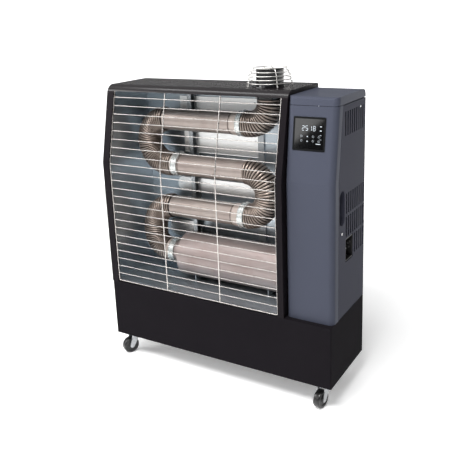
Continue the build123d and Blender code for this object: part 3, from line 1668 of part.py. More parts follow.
with BuildPart() as fork_form:
    with BuildSketch(Plane.XZ) as leg_side:
        with Locations((caster_trail, wheel_z)):
            Circle(fork_boss)
        with Locations((crown_offset, crown_z + crown_sheet / 2)):
            Rectangle(crown_length, crown_sheet)
        make_hull()
    for side in (-1, 1):
        near, far = sorted((side * leg_inner, side * leg_outer))
        with BuildSketch(Plane.XZ.offset(-far)) as leg:
            add(leg_side.sketch)
        extrude(leg.sketch, amount=fork_sheet)
    block(
        (crown_offset - crown_length / 2, -leg_outer, crown_z),
        (crown_offset + crown_length / 2, leg_outer, crown_z + crown_sheet),
    )
    with Locations((0, 0, crown_z + crown_sheet)):
        Hole(king_pin / 2 + running_clearance, depth=4 * crown_sheet)
    with Locations(Plane((caster_trail, 0, wheel_z), z_dir=(0, 1, 0))):
        Cylinder(axle_diameter / 2, 2 * leg_outer)

with BuildPart() as wheel_form:
    with BuildSketch(Plane.XY) as wheel_section:
        with BuildLine():
            Polyline(
                (axle_diameter / 2 + running_clearance, -wheel_width / 2),
                (axle_diameter / 2 + running_clearance, wheel_width / 2),
                (wheel_z - tread_chamfer, wheel_width / 2),
                (wheel_z, wheel_width / 2 - tread_chamfer),
                (wheel_z, tread_chamfer - wheel_width / 2),
                (wheel_z - tread_chamfer, -wheel_width / 2),
                close=True,
            )
        make_face()
    revolve(wheel_section.sketch, axis=Axis.Y)

for place, (place_x, place_y, heading) in caster_places.items():
    fork = fork_form.part.moved(Location((place_x, place_y, 0), (0, 0, heading)))
    save(fork, f"caster_fork_{place}")
    wheel_x = place_x + caster_trail * cos(radians(heading))
    wheel_y = place_y + caster_trail * sin(radians(heading))
    wheel = wheel_form.part.moved(Location((wheel_x, wheel_y, wheel_z), (0, 0, heading)))
    save(wheel, f"caster_wheel_{place}")

plate_z = caster_height - caster_plate

with BuildPart() as caster_plates:
    for place_x, place_y, heading in caster_places.values():
        with Locations((place_x, place_y, plate_z)):
            Box(mount_plate, mount_plate, caster_plate, align=from_end)
        with Locations((place_x, place_y, plate_z - race_height)):
            Cylinder(race_radius, race_height, align=from_end)
        pin_low_z = crown_z - swivel_gap - king_pin_head
        with Locations((place_x, place_y, pin_low_z)):
            Cylinder(king_pin / 2, plate_z - pin_low_z, align=from_end)
            Cylinder(king_pin_head_radius, king_pin_head, align=from_end)
save(caster_plates.part, "caster_plates")
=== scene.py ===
"""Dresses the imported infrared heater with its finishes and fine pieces, in metres.

The heater stands on the floor at z = 0. Its front faces -Y and +X is to the right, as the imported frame
has it.
"""

import logging
import math
from dataclasses import dataclass, field
from enum import Enum
from typing import Any, Iterable, Sequence

import bmesh
import bpy
from mathutils import Matrix, Quaternion, Vector


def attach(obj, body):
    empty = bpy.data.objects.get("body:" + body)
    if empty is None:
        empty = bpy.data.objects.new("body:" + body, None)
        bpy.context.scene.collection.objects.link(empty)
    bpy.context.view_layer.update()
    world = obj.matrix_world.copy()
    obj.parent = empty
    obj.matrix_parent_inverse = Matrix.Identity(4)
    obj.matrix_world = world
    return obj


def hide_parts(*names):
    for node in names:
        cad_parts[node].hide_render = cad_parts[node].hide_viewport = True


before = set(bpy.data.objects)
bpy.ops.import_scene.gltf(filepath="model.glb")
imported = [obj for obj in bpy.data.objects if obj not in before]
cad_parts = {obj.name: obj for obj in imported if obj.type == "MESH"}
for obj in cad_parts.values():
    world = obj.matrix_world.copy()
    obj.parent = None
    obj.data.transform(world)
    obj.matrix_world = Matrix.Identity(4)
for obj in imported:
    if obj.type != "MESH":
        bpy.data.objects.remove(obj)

log = logging.getLogger("heater")

MM = 0.001
WELD = 0.001 * MM
PHOTO_PIXELS = 470

# How many times longer than wide a drawn line of rolled metal is.
STRETCH = 14.0

# The Mix node's colour sockets go by place, because its number sockets have the same names.
MIX_FIRST = 6
MIX_SECOND = 7
MIX_RESULT = 2

# A fastener's head: its flat top as a share of its width, its upright edge as a share of its rise.
HEAD_FLAT = 0.62
HEAD_SHOULDER = 0.45
HEAD_SIDES = 20

# Directions in the frame.
RIGHTWARD = Vector((1.0, 0.0, 0.0))
BACKWARD = Vector((0.0, 1.0, 0.0))
UPWARD = Vector((0.0, 0.0, 1.0))

Colour = tuple[float, float, float, float]
Point = tuple[float, float, float]
Pair = tuple[float, float]


class Run(Enum):
    """Which way a rolled, brushed or drawn surface runs."""

    ACROSS = (1.0, STRETCH, STRETCH)
    UPRIGHT = (STRETCH, STRETCH, 1.0)


def linear(code: str) -> Colour:
    """Turns an sRGB hex colour into a linear one.

    Args:
        code: The colour as "#rrggbb".

    Returns:
        Linear red, green, blue and an alpha of one.
    """
    parts = [int(code[start : start + 2], 16) / 255 for start in (1, 3, 5)]
    mixed = [part / 12.92 if part <= 0.04045 else ((part + 0.055) / 1.055) ** 2.4 for part in parts]
    return (mixed[0], mixed[1], mixed[2], 1.0)


def add_node(
    tree: bpy.types.NodeTree,
    kind: str,
    settings: dict[str, Any] | None = None,
    inputs: dict[str | int, Any] | None = None,
) -> bpy.types.Node:
    """Adds a node with its settings, values and links.

    Args:
        tree: The tree that gets the node.
        kind: The node's type name.
        settings: Property values by name.
        inputs: For each input, by name or place, a value or the output socket that feeds it.

    Returns:
        The new node.
    """
    node = tree.nodes.new(kind)
    for name, value in (settings or {}).items():
        setattr(node, name, value)
    for name, value in (inputs or {}).items():
        if isinstance(value, bpy.types.NodeSocket):
            tree.links.new(value, node.inputs[name])
        else:
            node.inputs[name].default_value = value
    return node


@dataclass(frozen=True)
class Finish:
    """A surface finish: what the surface is made of and how it was made."""

    name: str

    def material(self) -> bpy.types.Material:
        """Gives the finish's material, made on first use.

        Returns:
            The material.
        """
        known = bpy.data.materials.get(self.name)
        if known is not None:
            return known
        material = bpy.data.materials.new(self.name)
        material.use_nodes = True
        tree = material.node_tree
        tree.nodes.clear()
        shader = add_node(tree, "ShaderNodeBsdfPrincipled")
        add_node(tree, "ShaderNodeOutputMaterial", inputs={"Surface": shader.outputs["BSDF"]})
        place = add_node(tree, "ShaderNodeTexCoord").outputs["Object"]
        self.paint(tree, shader, place)
        return material

    def paint(
        self, tree: bpy.types.NodeTree, shader: bpy.types.Node, place: bpy.types.NodeSocket
    ) -> None:
        """Adds the finish's own nodes.

        Args:
            tree: The material's node tree.
            shader: The Principled shader to feed.
            place: The object coordinates, in metres.
        """
        raise NotImplementedError

    def vary(
        self,
        tree: bpy.types.NodeTree,
        shader: bpy.types.Node,
        pattern: bpy.types.NodeSocket,
        colours: tuple[str, str],
        roughness: Pair,
    ) -> None:
        """Lets one pattern drive both the colour and the roughness.

        Args:
            tree: The material's node tree.
            shader: The Principled shader to feed.
            pattern: The pattern, from nought to one.
            colours: The sRGB colours where the pattern is nought and one.
            roughness: The roughness where the pattern is nought and one.
        """
        tint = add_node(
            tree,
            "ShaderNodeMix",
            {"data_type": "RGBA"},
            {"Factor": pattern, MIX_FIRST: linear(colours[0]), MIX_SECOND: linear(colours[1])},
        )
        blur = add_node(
            tree,
            "ShaderNodeMapRange",
            inputs={"Value": pattern, "To Min": roughness[0], "To Max": roughness[1]},
        )
        tree.links.new(tint.outputs[MIX_RESULT], shader.inputs["Base Color"])
        tree.links.new(blur.outputs["Result"], shader.inputs["Roughness"])


@dataclass(frozen=True)
class PowderCoat(Finish):
    """Polyester powder coat on folded steel: an even satin skin with a faint orange peel."""

    colour: str = "#2a282b"
    deep: str = "#242226"
    roughness: float = 0.42
    specular: float = 0.3
    peel: float = 1.6 * MM
    cloud: float = 180 * MM
    sheen: float = 0.02
    peel_depth: float = 0.1 * MM
    peel_strength: float = 0.015

    def paint(
        self, tree: bpy.types.NodeTree, shader: bpy.types.Node, place: bpy.types.NodeSocket
    ) -> None:
        """Adds the coat's colour clouds and orange peel.

        Args:
            tree: The material's node tree.
            shader: The Principled shader to feed.
            place: The object coordinates, in metres.
        """
        cloud = add_node(
            tree, "ShaderNodeTexNoise", inputs={"Vector": place, "Scale": 1 / self.cloud, "Detail": 3.0}
        )
        tint = add_node(
            tree,
            "ShaderNodeMix",
            {"data_type": "RGBA"},
            {
                "Factor": cloud.outputs["Fac"],
                MIX_FIRST: linear(self.deep),
                MIX_SECOND: linear(self.colour),
            },
        )
        # Real orange peel is about 1 mm across; drawn a little coarser so that it shows.
        peel = add_node(
            tree, "ShaderNodeTexNoise", inputs={"Vector": place, "Scale": 1 / self.peel, "Detail": 2.0}
        )
        sheen = add_node(
            tree,
            "ShaderNodeMapRange",
            inputs={
                "Value": peel.outputs["Fac"],
                "To Min": self.roughness - self.sheen,
                "To Max": self.roughness + self.sheen,
            },
        )
        bump = add_node(
            tree,
            "ShaderNodeBump",
            inputs={
                "Strength": self.peel_strength,
                "Distance": self.peel_depth,
                "Height": peel.outputs["Fac"],
            },
        )
        tree.links.new(tint.outputs[MIX_RESULT], shader.inputs["Base Color"])
        tree.links.new(sheen.outputs["Result"], shader.inputs["Roughness"])
        tree.links.new(bump.outputs["Normal"], shader.inputs["Normal"])
        shader.inputs["Specular IOR Level"].default_value = self.specular


@dataclass(frozen=True)
class RolledSheet(Finish):
    """Bare rolled or brushed metal sheet: fine lines along the rolling, a slow waviness and soft blur."""

    colour: str = "#b9bfc6"
    shade: str = "#9aa1a9"
    metallic: float = 1.0
    rough_low: float = 0.12
    rough_high: float = 0.26
    run: Run = Run.ACROSS
    line: float = 1.4 * MM
    wave: float = 90 * MM
    wave_depth: float = 0.3 * MM
    wave_strength: float = 0.5

    def paint(
        self, tree: bpy.types.NodeTree, shader: bpy.types.Node, place: bpy.types.NodeSocket
    ) -> None:
        """Adds the rolling lines and the sheet's waviness.

        Args:
            tree: The material's node tree.
            shader: The Principled shader to feed.
            place: The object coordinates, in metres.
        """
        stretched = add_node(
            tree, "ShaderNodeMapping", inputs={"Vector": place, "Scale": self.run.value}
        )
        # Rolling lines are finer than this; drawn about 1 mm apart so that they show.
        lines = add_node(
            tree,
            "ShaderNodeTexNoise",
            inputs={
                "Vector": stretched.outputs["Vector"],
                "Scale": 1 / (STRETCH * self.line),
                "Detail": 6.0,
            },
        )
        slow = add_node(
            tree, "ShaderNodeTexNoise", inputs={"Vector": place, "Scale": 1 / self.wave, "Detail": 1.0}
        )
        bump = add_node(
            tree,
            "ShaderNodeBump",
            inputs={
                "Strength": self.wave_strength,
                "Distance": self.wave_depth,
                "Height": slow.outputs["Fac"],
            },
        )
        self.vary(
            tree,
            shader,
            lines.outputs["Fac"],
            (self.shade, self.colour),
            (self.rough_low, self.rough_high),
        )
        tree.links.new(bump.outputs["Normal"], shader.inputs["Normal"])
        shader.inputs["Metallic"].default_value = self.metallic


@dataclass(frozen=True)
class HeatedTube(Finish):
    """Aluminised steel tube, heat-tinted taupe: drawn lines along it and slow blotches of oxide."""

    colour: str = "#a69c96"
    shade: str = "#8a807a"
    oxide: str = "#7c6965"
    metallic: float = 0.7
    roughness: float = 0.32
    line: float = 2.0 * MM
    blotch: float = 70 * MM
    # Where in the blotches' noise the oxide starts and is full, and how much of it shows.
    oxide_start: float = 0.45
    oxide_full: float = 0.8
    oxide_most: float = 0.55
    bright: float = 0.06
    dull: float = 0.08

    def paint(
        self, tree: bpy.types.NodeTree, shader: bpy.types.Node, place: bpy.types.NodeSocket
    ) -> None:
        """Adds the drawn lines and the heat tint.

        Args:
            tree: The material's node tree.
            shader: The Principled shader to feed.
            place: The object coordinates, in metres.
        """
        stretched = add_node(
            tree, "ShaderNodeMapping", inputs={"Vector": place, "Scale": Run.ACROSS.value}
        )
        lines = add_node(
            tree,
            "ShaderNodeTexNoise",
            inputs={
                "Vector": stretched.outputs["Vector"],
                "Scale": 1 / (STRETCH * self.line),
                "Detail": 5.0,
            },
        )
        blotch = add_node(
            tree, "ShaderNodeTexNoise", inputs={"Vector": place, "Scale": 1 / self.blotch, "Detail": 3.0}
        )
        drawn = add_node(
            tree,
            "ShaderNodeMix",
            {"data_type": "RGBA"},
            {
                "Factor": lines.outputs["Fac"],
                MIX_FIRST: linear(self.shade),
                MIX_SECOND: linear(self.colour),
            },
        )
        patch = add_node(
            tree,
            "ShaderNodeMapRange",
            inputs={
                "Value": blotch.outputs["Fac"],
                "From Min": self.oxide_start,
                "From Max": self.oxide_full,
                "To Max": self.oxide_most,
            },
        )
        tint = add_node(
            tree,
            "ShaderNodeMix",
            {"data_type": "RGBA"},
            {
                "Factor": patch.outputs["Result"],
                MIX_FIRST: drawn.outputs[MIX_RESULT],
                MIX_SECOND: linear(self.oxide),
            },
        )
        blur = add_node(
            tree,
            "ShaderNodeMapRange",
            inputs={
                "Value": lines.outputs["Fac"],
                "To Min": self.roughness - self.bright,
                "To Max": self.roughness + self.dull,
            },
        )
        tree.links.new(tint.outputs[MIX_RESULT], shader.inputs["Base Color"])
        tree.links.new(blur.outputs["Result"], shader.inputs["Roughness"])
        shader.inputs["Metallic"].default_value = self.metallic


@dataclass(frozen=True)
class RibbedSteel(Finish):
    """Corrugated stainless hose, straw-tinted by heat: bright crests, and grooves darkened near black with
    painted shade.
    """

    crest: str = "#a0948b"
    # The grooves' near-black colour is painted shade between the ribs.
    painted_groove_shade: str = "#15110f"
    tint: str = "#76675e"
    metallic: float = 0.75
    roughness: float = 0.34
    blotch: float = 45 * MM
    # Below the first rib height the painted groove shade is full; from the second it is gone.
    full_shade_below: float = 0.35
    unshaded_from: float = 0.95
    groove_roughness: float = 0.6

    def paint(
        self, tree: bpy.types.NodeTree, shader: bpy.types.Node, place: bpy.types.NodeSocket
    ) -> None:
        """Adds the crests, the painted shade in the grooves and the heat tint.

        Args:
            tree: The material's node tree.
            shader: The Principled shader to feed.
            place: The object coordinates, in metres.
        """
        height = add_node(tree, "ShaderNodeAttribute", {"attribute_name": "crest"})
        blotch = add_node(
            tree, "ShaderNodeTexNoise", inputs={"Vector": place, "Scale": 1 / self.blotch, "Detail": 2.0}
        )
        metal = add_node(
            tree,
            "ShaderNodeMix",
            {"data_type": "RGBA"},
            {
                "Factor": blotch.outputs["Fac"],
                MIX_FIRST: linear(self.tint),
                MIX_SECOND: linear(self.crest),
            },
        )
        depth = add_node(
            tree,
            "ShaderNodeMapRange",
            inputs={
                "Value": height.outputs["Fac"],
                "From Min": self.full_shade_below,
                "From Max": self.unshaded_from,
            },
        )
        # Painted shade: the colour darkens towards near black down into each groove.
        tint = add_node(
            tree,
            "ShaderNodeMix",
            {"data_type": "RGBA"},
            {
                "Factor": depth.outputs["Result"],
                MIX_FIRST: linear(self.painted_groove_shade),
                MIX_SECOND: metal.outputs[MIX_RESULT],
            },
        )
        blur = add_node(
            tree,
            "ShaderNodeMapRange",
            inputs={
                "Value": depth.outputs["Result"],
                "To Min": self.groove_roughness,
                "To Max": self.roughness,
            },
        )
        tree.links.new(tint.outputs[MIX_RESULT], shader.inputs["Base Color"])
        tree.links.new(blur.outputs["Result"], shader.inputs["Roughness"])
        shader.inputs["Metallic"].default_value = self.metallic


@dataclass(frozen=True)
class PlatedSteel(Finish):
    """Chrome, nickel or zinc plate on steel: bright, with a faint mottle from the bath."""

    colour: str = "#d9d6d2"
    shade: str = "#c3c0bd"
    roughness: float = 0.22
    mottle: float = 6 * MM
    bright: float = 0.03
    dull: float = 0.06

    def paint(
        self, tree: bpy.types.NodeTree, shader: bpy.types.Node, place: bpy.types.NodeSocket
    ) -> None:
        """Adds the plate's mottle.

        Args:
            tree: The material's node tree.
            shader: The Principled shader to feed.
            place: The object coordinates, in metres.
        """
        mottle = add_node(
            tree, "ShaderNodeTexVoronoi", inputs={"Vector": place, "Scale": 1 / self.mottle}
        )
        self.vary(
            tree,
            shader,
            mottle.outputs["Distance"],
            (self.shade, self.colour),
            (self.roughness - self.bright, self.roughness + self.dull),
        )
        shader.inputs["Metallic"].default_value = 1.0


@dataclass(frozen=True)
class Moulded(Finish):
    """Injection-moulded plastic or rubber: a fine spark-eroded grain over an even colour."""

    colour: str = "#141415"
    shade: str = "#0f0f10"
    roughness: float = 0.45
    coat: float = 0.0
    grain: float = 0.9 * MM
    grain_depth: float = 0.05 * MM
    specular: float = 0.5
    spread: float = 0.05
    smoothest: float = 0.02
    grain_strength: float = 0.2
    coat_roughness: float = 0.05

    def paint(
        self, tree: bpy.types.NodeTree, shader: bpy.types.Node, place: bpy.types.NodeSocket
    ) -> None:
        """Adds the moulded grain.

        Args:
            tree: The material's node tree.
            shader: The Principled shader to feed.
            place: The object coordinates, in metres.
        """
        # Spark grain is about 0.2 mm across; drawn nearer 1 mm so that it shows.
        grain = add_node(
            tree, "ShaderNodeTexNoise", inputs={"Vector": place, "Scale": 1 / self.grain, "Detail": 3.0}
        )
        bump = add_node(
            tree,
            "ShaderNodeBump",
            inputs={
                "Strength": self.grain_strength,
                "Distance": self.grain_depth,
                "Height": grain.outputs["Fac"],
            },
        )
        low = max(self.smoothest, self.roughness - self.spread)
        high = self.roughness + self.spread
        self.vary(tree, shader, grain.outputs["Fac"], (self.shade, self.colour), (low, high))
        tree.links.new(bump.outputs["Normal"], shader.inputs["Normal"])
        shader.inputs["Coat Weight"].default_value = self.coat
        shader.inputs["Coat Roughness"].default_value = self.coat_roughness
        shader.inputs["Specular IOR Level"].default_value = self.specular


@dataclass(frozen=True)
class LitPrint(Finish):
    """A lit segment, a printed key or a lit studio sheet: pale, even and faintly uneven in light."""

    colour: str = "#cfd6dc"
    shade: str = "#a9b1b8"
    glow: float = 0.25
    uneven: float = 4 * MM
    roughness: float = 0.35

    def paint(
        self, tree: bpy.types.NodeTree, shader: bpy.types.Node, place: bpy.types.NodeSocket
    ) -> None:
        """Adds the print's uneven light.

        Args:
            tree: The material's node tree.
            shader: The Principled shader to feed.
            place: The object coordinates, in metres.
        """
        uneven = add_node(
            tree, "ShaderNodeTexNoise", inputs={"Vector": place, "Scale": 1 / self.uneven}
        )
        tint = add_node(
            tree,
            "ShaderNodeMix",
            {"data_type": "RGBA"},
            {
                "Factor": uneven.outputs["Fac"],
                MIX_FIRST: linear(self.shade),
                MIX_SECOND: linear(self.colour),
            },
        )
        tree.links.new(tint.outputs[MIX_RESULT], shader.inputs["Base Color"])
        tree.links.new(tint.outputs[MIX_RESULT], shader.inputs["Emission Color"])
        shader.inputs["Emission Strength"].default_value = self.glow
        shader.inputs["Roughness"].default_value = self.roughness


@dataclass(frozen=True)
class CircuitBoard(Finish):
    """Fibreglass board under green solder resist, with lighter copper tracks across it."""

    colour: str = "#1d5a36"
    track: str = "#2f7a4b"
    field_size: float = 12.0 * MM
    track_share: float = 0.04
    roughness: float = 0.35

    def paint(
        self, tree: bpy.types.NodeTree, shader: bpy.types.Node, place: bpy.types.NodeSocket
    ) -> None:
        """Adds the board's tracks.

        Args:
            tree: The material's node tree.
            shader: The Principled shader to feed.
            place: The object coordinates, in metres.
        """
        turned = add_node(
            tree, "ShaderNodeMapping", inputs={"Vector": place, "Rotation": (0.0, math.pi / 2, 0.0)}
        )
        tracks = add_node(
            tree,
            "ShaderNodeTexBrick",
            inputs={
                "Vector": turned.outputs["Vector"],
                "Color1": linear(self.colour),
                "Color2": linear(self.colour),
                "Mortar": linear(self.track),
                "Scale": 1 / self.field_size,
                "Mortar Size": self.track_share,
            },
        )
        tree.links.new(tracks.outputs["Color"], shader.inputs["Base Color"])
        shader.inputs["Roughness"].default_value = self.roughness


# Powder coat and sprayed paint: even and dull on the pedestal and sides, with more gloss on the hood. The
# column's side and back get a darker copy of its slate paint, which is painted shade.
PEDESTAL_PAINT = PowderCoat("black_powder_coat", "#1b191c", "#171518", 0.6, 0.01)
HOOD_PAINT = PowderCoat("black_hood_powder_coat", "#181518", "#151215", 0.4, 0.05)
HOOD_TOP_PAINT = PowderCoat("black_satin_powder_coat", "#1b181a", "#181517", 0.24, 0.34)
COLUMN_PAINT = PowderCoat("slate_powder_coat", "#434652", "#40434e", 0.3, 0.03)
# A darker copy of the slate column paint for the door side and the back: painted shade for the sides out of
# the light.
SHADED_SIDE_PAINT = PowderCoat("slate_powder_coat_painted_side_shade", "#393a45", "#363741", 0.5, 0.03)
TANK_PAINT = PowderCoat("grey_tank_paint", "#4b4e52", "#43464a", 0.45)
MOTOR_PAINT = PowderCoat("grey_motor_paint", "#5a5d61", "#505357", 0.4)

# Bare sheet: the reflectors mirror softly, the shields glare white, brackets and bands look brushed.
POLISHED_SHEET = RolledSheet("bright_rolled_aluminium", "#bcc5cc", "#a7b0b7", 0.9, 0.26, 0.38)
SHIELD_SHEET = RolledSheet("bright_shield_sheet", "#fdfdfc", "#f2f3f3", 0.85, 0.3, 0.42)
BRACKET_SHEET = RolledSheet("galvanised_sheet", "#b6babd", "#989da1", 0.85, 0.34, 0.48, Run.UPRIGHT)
CLAMP_STEEL = RolledSheet("bright_clamp_band", "#d3d6d4", "#bcc0be", 0.7, 0.2, 0.32, Run.UPRIGHT, 0.8 * MM)

# Heated steel: half dull and taupe, browner on the drum, paler on the sleeves, near black on the beads.
TUBE_STEEL = HeatedTube("heat_tinted_tube")
DRUM_STEEL = HeatedTube("heat_tinted_drum", "#9e9390", "#857a77", "#806c68", 0.62, 0.34)
SLEEVE_STEEL = HeatedTube("pale_sleeve_steel", "#b3a8a0", "#9b9089", "#8d7f78", 0.35, 0.34)
WELD_BEAD = HeatedTube("oxidised_bead", "#5c514c", "#4a403c", "#403633", 0.5, 0.4)
HOSE_STEEL = RibbedSteel("corrugated_hose_steel")

# Plate and drawn metal: chrome and nickel glint, zinc is greyer, brass and copper are warm.
WIRE_CHROME = PlatedSteel("chromed_wire", "#cdc8c4", "#bcb8b4", 0.25)
DOME_CHROME = PlatedSteel("bright_dome_wire", "#f2f0ec", "#e4e2de", 0.4)
ZINC = PlatedSteel("zinc_plate", "#b4b6b8", "#9c9ea1", 0.3)
BRIGHT_CHROME = PlatedSteel("bright_chrome", "#dddddc", "#cccccb", 0.12)
STEEL_SCREW = PlatedSteel("nickelled_screw", "#b9b9b8", "#9d9d9c", 0.28, 2 * MM)
BRASS = PlatedSteel("machined_brass", "#c8a95a", "#b29447", 0.28)
COPPER = PlatedSteel("drawn_copper_pipe", "#c0764a", "#a9633b", 0.25)

# Moulded and dipped parts: enamel and glass are glossy, plastics satin, and the black sheets of painted
# shade behind the slots are dull and pitted.
FLUE_ENAMEL = Moulded("black_gloss_enamel", "#101012", "#0b0b0d", 0.16, 0.6, 2.0 * MM, 0.02 * MM)
BEZEL_PLASTIC = Moulded("black_abs_bezel", "#08090b", "#060708", 0.3, 0.0, 0.9 * MM, 0.05 * MM, 0.15)
DISPLAY_GLASS = Moulded("smoked_display_glass", "#040405", "#020203", 0.05, 0.0, 6.0 * MM, 0.002 * MM)
INLET_PLASTIC = Moulded("black_nylon_inlet", "#0d0d0e", "#080809", 0.5)
CAP_PLASTIC = Moulded("red_cap_plastic", "#a3231c", "#8e1d17", 0.42)
GAUGE_PLASTIC = Moulded("pale_gauge_plastic", "#d5d4cd", "#c8c7c0", 0.3)
POINTER_PLASTIC = Moulded("red_pointer_plastic", "#b3231c", "#9b1f18", 0.35)
DARK_PLASTIC = Moulded("black_moulded_plastic", "#191919", "#131313", 0.5)
TYRE_RUBBER = Moulded("black_polyurethane_tyre", "#0c0c0d", "#080809", 0.3, 0.15)
# Near-black sheets behind the slots stand in for the shade inside the column: painted shade.
SLOT_SHADE_SHEET = Moulded("black_slot_shade_sheet", "#0d0d0e", "#050506", 0.9, 0.0, 2.5 * MM, 0.8 * MM)
HUB_PLASTIC = Moulded("black_nylon_hub", "#151516", "#101011", 0.35)
FILTER_PLASTIC = Moulded("clear_filter_bowl", "#c9c8bb", "#bdbcae", 0.12, 0.5)

# Board, print and lit sheets: flat, even colour.
BOARD = CircuitBoard("green_circuit_board")
LIT_SEGMENT = LitPrint("lit_display_segment")
KEY_PRINT = LitPrint("printed_display_key", "#9aa0a6", "#868c92", 0.08)
STUDIO_FLOOR = LitPrint("white_studio_floor", "#ffffff", "#fdfdfd", 0.25, 900 * MM, 0.9)
STUDIO_WALL = LitPrint("white_studio_wall", "#ffffff", "#fdfdfd", 1.1, 900 * MM, 0.9)

CAD_FINISHES: dict[str, Finish] = {
    "pedestal_wrap": PEDESTAL_PAINT,
    "pedestal_base": PEDESTAL_PAINT,
    "pedestal_deck": PEDESTAL_PAINT,
    "pedestal_back": PEDESTAL_PAINT,
    "hood_left_panel": HOOD_PAINT,
    "hood_divider": HOOD_PAINT,
    "hood_top": HOOD_TOP_PAINT,
    "hood_back": HOOD_PAINT,
    "column_front": COLUMN_PAINT,
    "column_cap": COLUMN_PAINT,
    # The door and the back get the darker slate copy: painted shade.
    "column_door": SHADED_SIDE_PAINT,
    "column_back": SHADED_SIDE_PAINT,
    "reflector_left": POLISHED_SHEET,
    "reflector_right": POLISHED_SHEET,
    "reflector_back": POLISHED_SHEET,
    "reflector_floor": POLISHED_SHEET,
    "reflector_ceiling": POLISHED_SHEET,
    "heat_shields": SHIELD_SHEET,
    "tube_supports": BRACKET_SHEET,
    "combustion_chamber": DRUM_STEEL,
    "radiant_tube_lower": TUBE_STEEL,
    "radiant_tube_middle": TUBE_STEEL,
    "radiant_tube_upper": TUBE_STEEL,
    "flue_pipe": FLUE_ENAMEL,
    "display_bezel": BEZEL_PLASTIC,
    "display_glass": DISPLAY_GLASS,
    "lock_cam": BRIGHT_CHROME,
    "power_inlet": INLET_PLASTIC,
    "fuel_tank": TANK_PAINT,
    "filler_neck": ZINC,
    "fuel_cap": CAP_PLASTIC,
    "fuel_gauge": GAUGE_PLASTIC,
    "gauge_pointer": POINTER_PLASTIC,
    "float_arm": DARK_PLASTIC,
    "burner_plenum": BRACKET_SHEET,
    "burner_head": BRACKET_SHEET,
    "blower_housing": BRACKET_SHEET,
    "blower_motor": MOTOR_PAINT,
    "impeller": ZINC,
    "fuel_pump": BRASS,
    "fuel_filter": FILTER_PLASTIC,
    "fuel_lines": COPPER,
    "ignition_transformer": DARK_PLASTIC,
    "control_board": BOARD,
    "caster_plates": ZINC,
}
CASTER_PLACES = ("front_left", "front_right", "rear_left", "rear_right")


def smooth(mesh: bpy.types.Mesh, angle: float = 35.0) -> None:
    """Shades a mesh smooth, with edges sharper than an angle kept crisp.

    Args:
        mesh: The mesh to shade.
        angle: The least angle of a crisp edge, in degrees.
    """
    mesh.shade_smooth()
    mesh.set_sharp_from_angle(angle=math.radians(angle))


def add_piece(
    name: str,
    mesh: bpy.types.Mesh,
    finishes: Sequence[Finish],
    body: str,
    stands_for: Sequence[str] = (),
) -> bpy.types.Object:
    """Adds a finished mesh to the scene as a piece of the heater.

    Args:
        name: The piece's name.
        mesh: Its mesh, in place.
        finishes: The finishes its faces name, in order, or none if the mesh has its materials.
        body: The CAD body it rides on.
        stands_for: The CAD nodes that it replaces.

    Returns:
        The new object.
    """
    if finishes:
        mesh.materials.clear()
        for finish in finishes:
            mesh.materials.append(finish.material())
    piece = bpy.data.objects.new(name, mesh)
    bpy.context.scene.collection.objects.link(piece)
    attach(piece, body)
    if stands_for:
        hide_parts(*stands_for)
    log.info("%s: %d faces", name, len(mesh.polygons))
    return piece


def in_metres(pairs: Iterable[Pair]) -> list[Pair]:
    """Turns pairs of millimetres into metres."""
    return [(first * MM, second * MM) for first, second in pairs]


def path_mesh(name: str, runs: Iterable[Sequence[Point]], closed: bool = False) -> bpy.types.Mesh:
    """Makes a mesh of bare edges along one or more runs of points.

    Args:
        name: The mesh's name.
        runs: The points of each run, in metres.
        closed: Whether each run's end joins its start.

    Returns:
        The new mesh.
    """
    points: list[Point] = []
    edges: list[tuple[int, int]] = []
    for run in runs:
        first = len(points)
        points.extend(run)
        edges.extend((first + step, first + step + 1) for step in range(len(run) - 1))
        if closed:
            edges.append((len(points) - 1, first))
    mesh = bpy.data.meshes.new(name)
    mesh.from_pydata(points, edges, [])
    return mesh


def lathe(
    name: str,
    profile: Sequence[Pair],
    centre: Point,
    axis: Vector,
    steps: int = 48,
) -> bpy.types.Mesh:
    """Turns a closed profile round an axis.

    Args:
        name: The mesh's name.
        profile: Pairs of radius and distance along the axis, in metres, in order round the section.
        centre: The point on the axis that distances start from, in metres.
        axis: The axis's direction.
        steps: How many sides a full turn has.

    Returns:
        A closed mesh whose faces point outwards.
    """
    turn_to = axis.normalized().to_track_quat("Z", "Y").to_matrix().to_4x4()
    place = Matrix.Translation(centre) @ turn_to
    angles = [2 * math.pi * step / steps for step in range(steps)]
    work = bmesh.new()
    rings = [
        [
            work.verts.new(place @ Vector((radius * math.cos(angle), radius * math.sin(angle), rise)))
            for angle in angles
        ]
        for radius, rise in profile
    ]
    for near, far in zip(rings, rings[1:] + rings[:1]):
        for step in range(steps):
            following = (step + 1) % steps
            work.faces.new((near[step], near[following], far[following], far[step]))
    bmesh.ops.remove_doubles(work, verts=work.verts, dist=WELD)
    bmesh.ops.recalc_face_normals(work, faces=work.faces)
    mesh = bpy.data.meshes.new(name)
    work.to_mesh(mesh)
    work.free()
    smooth(mesh)
    return mesh


def grow(
    name: str,
    seed: bpy.types.Mesh,
    tree: bpy.types.NodeTree,
    values: dict[str, Any],
    finish: Finish,
) -> bpy.types.Mesh:
    """Runs a Geometry Nodes tree on a seed mesh and keeps the plain result.

    Args:
        name: The name of the mesh that is kept.
        seed: The mesh that the tree starts from.
        tree: The tree.
        values: The values of the tree's named inputs.
        finish: The finish the grown mesh gets.

    Returns:
        The grown mesh.
    """
    holder = bpy.data.objects.new(f"{name}_seed", seed)
    bpy.context.scene.collection.objects.link(holder)
    modifier = holder.modifiers.new("grow", "NODES")
    modifier.node_group = tree
    given = {**values, "Finish": finish.material()}
    for item in tree.interface.items_tree:
        if item.item_type == "SOCKET" and item.in_out == "INPUT" and item.name in given:
            modifier[item.identifier] = given[item.name]
    graph = bpy.context.evaluated_depsgraph_get()
    grown = bpy.data.meshes.new_from_object(
        holder.evaluated_get(graph), preserve_all_data_layers=True, depsgraph=graph
    )
    grown.name = name
    holder.modifiers.remove(modifier)
    bpy.data.objects.remove(holder)
    return grown


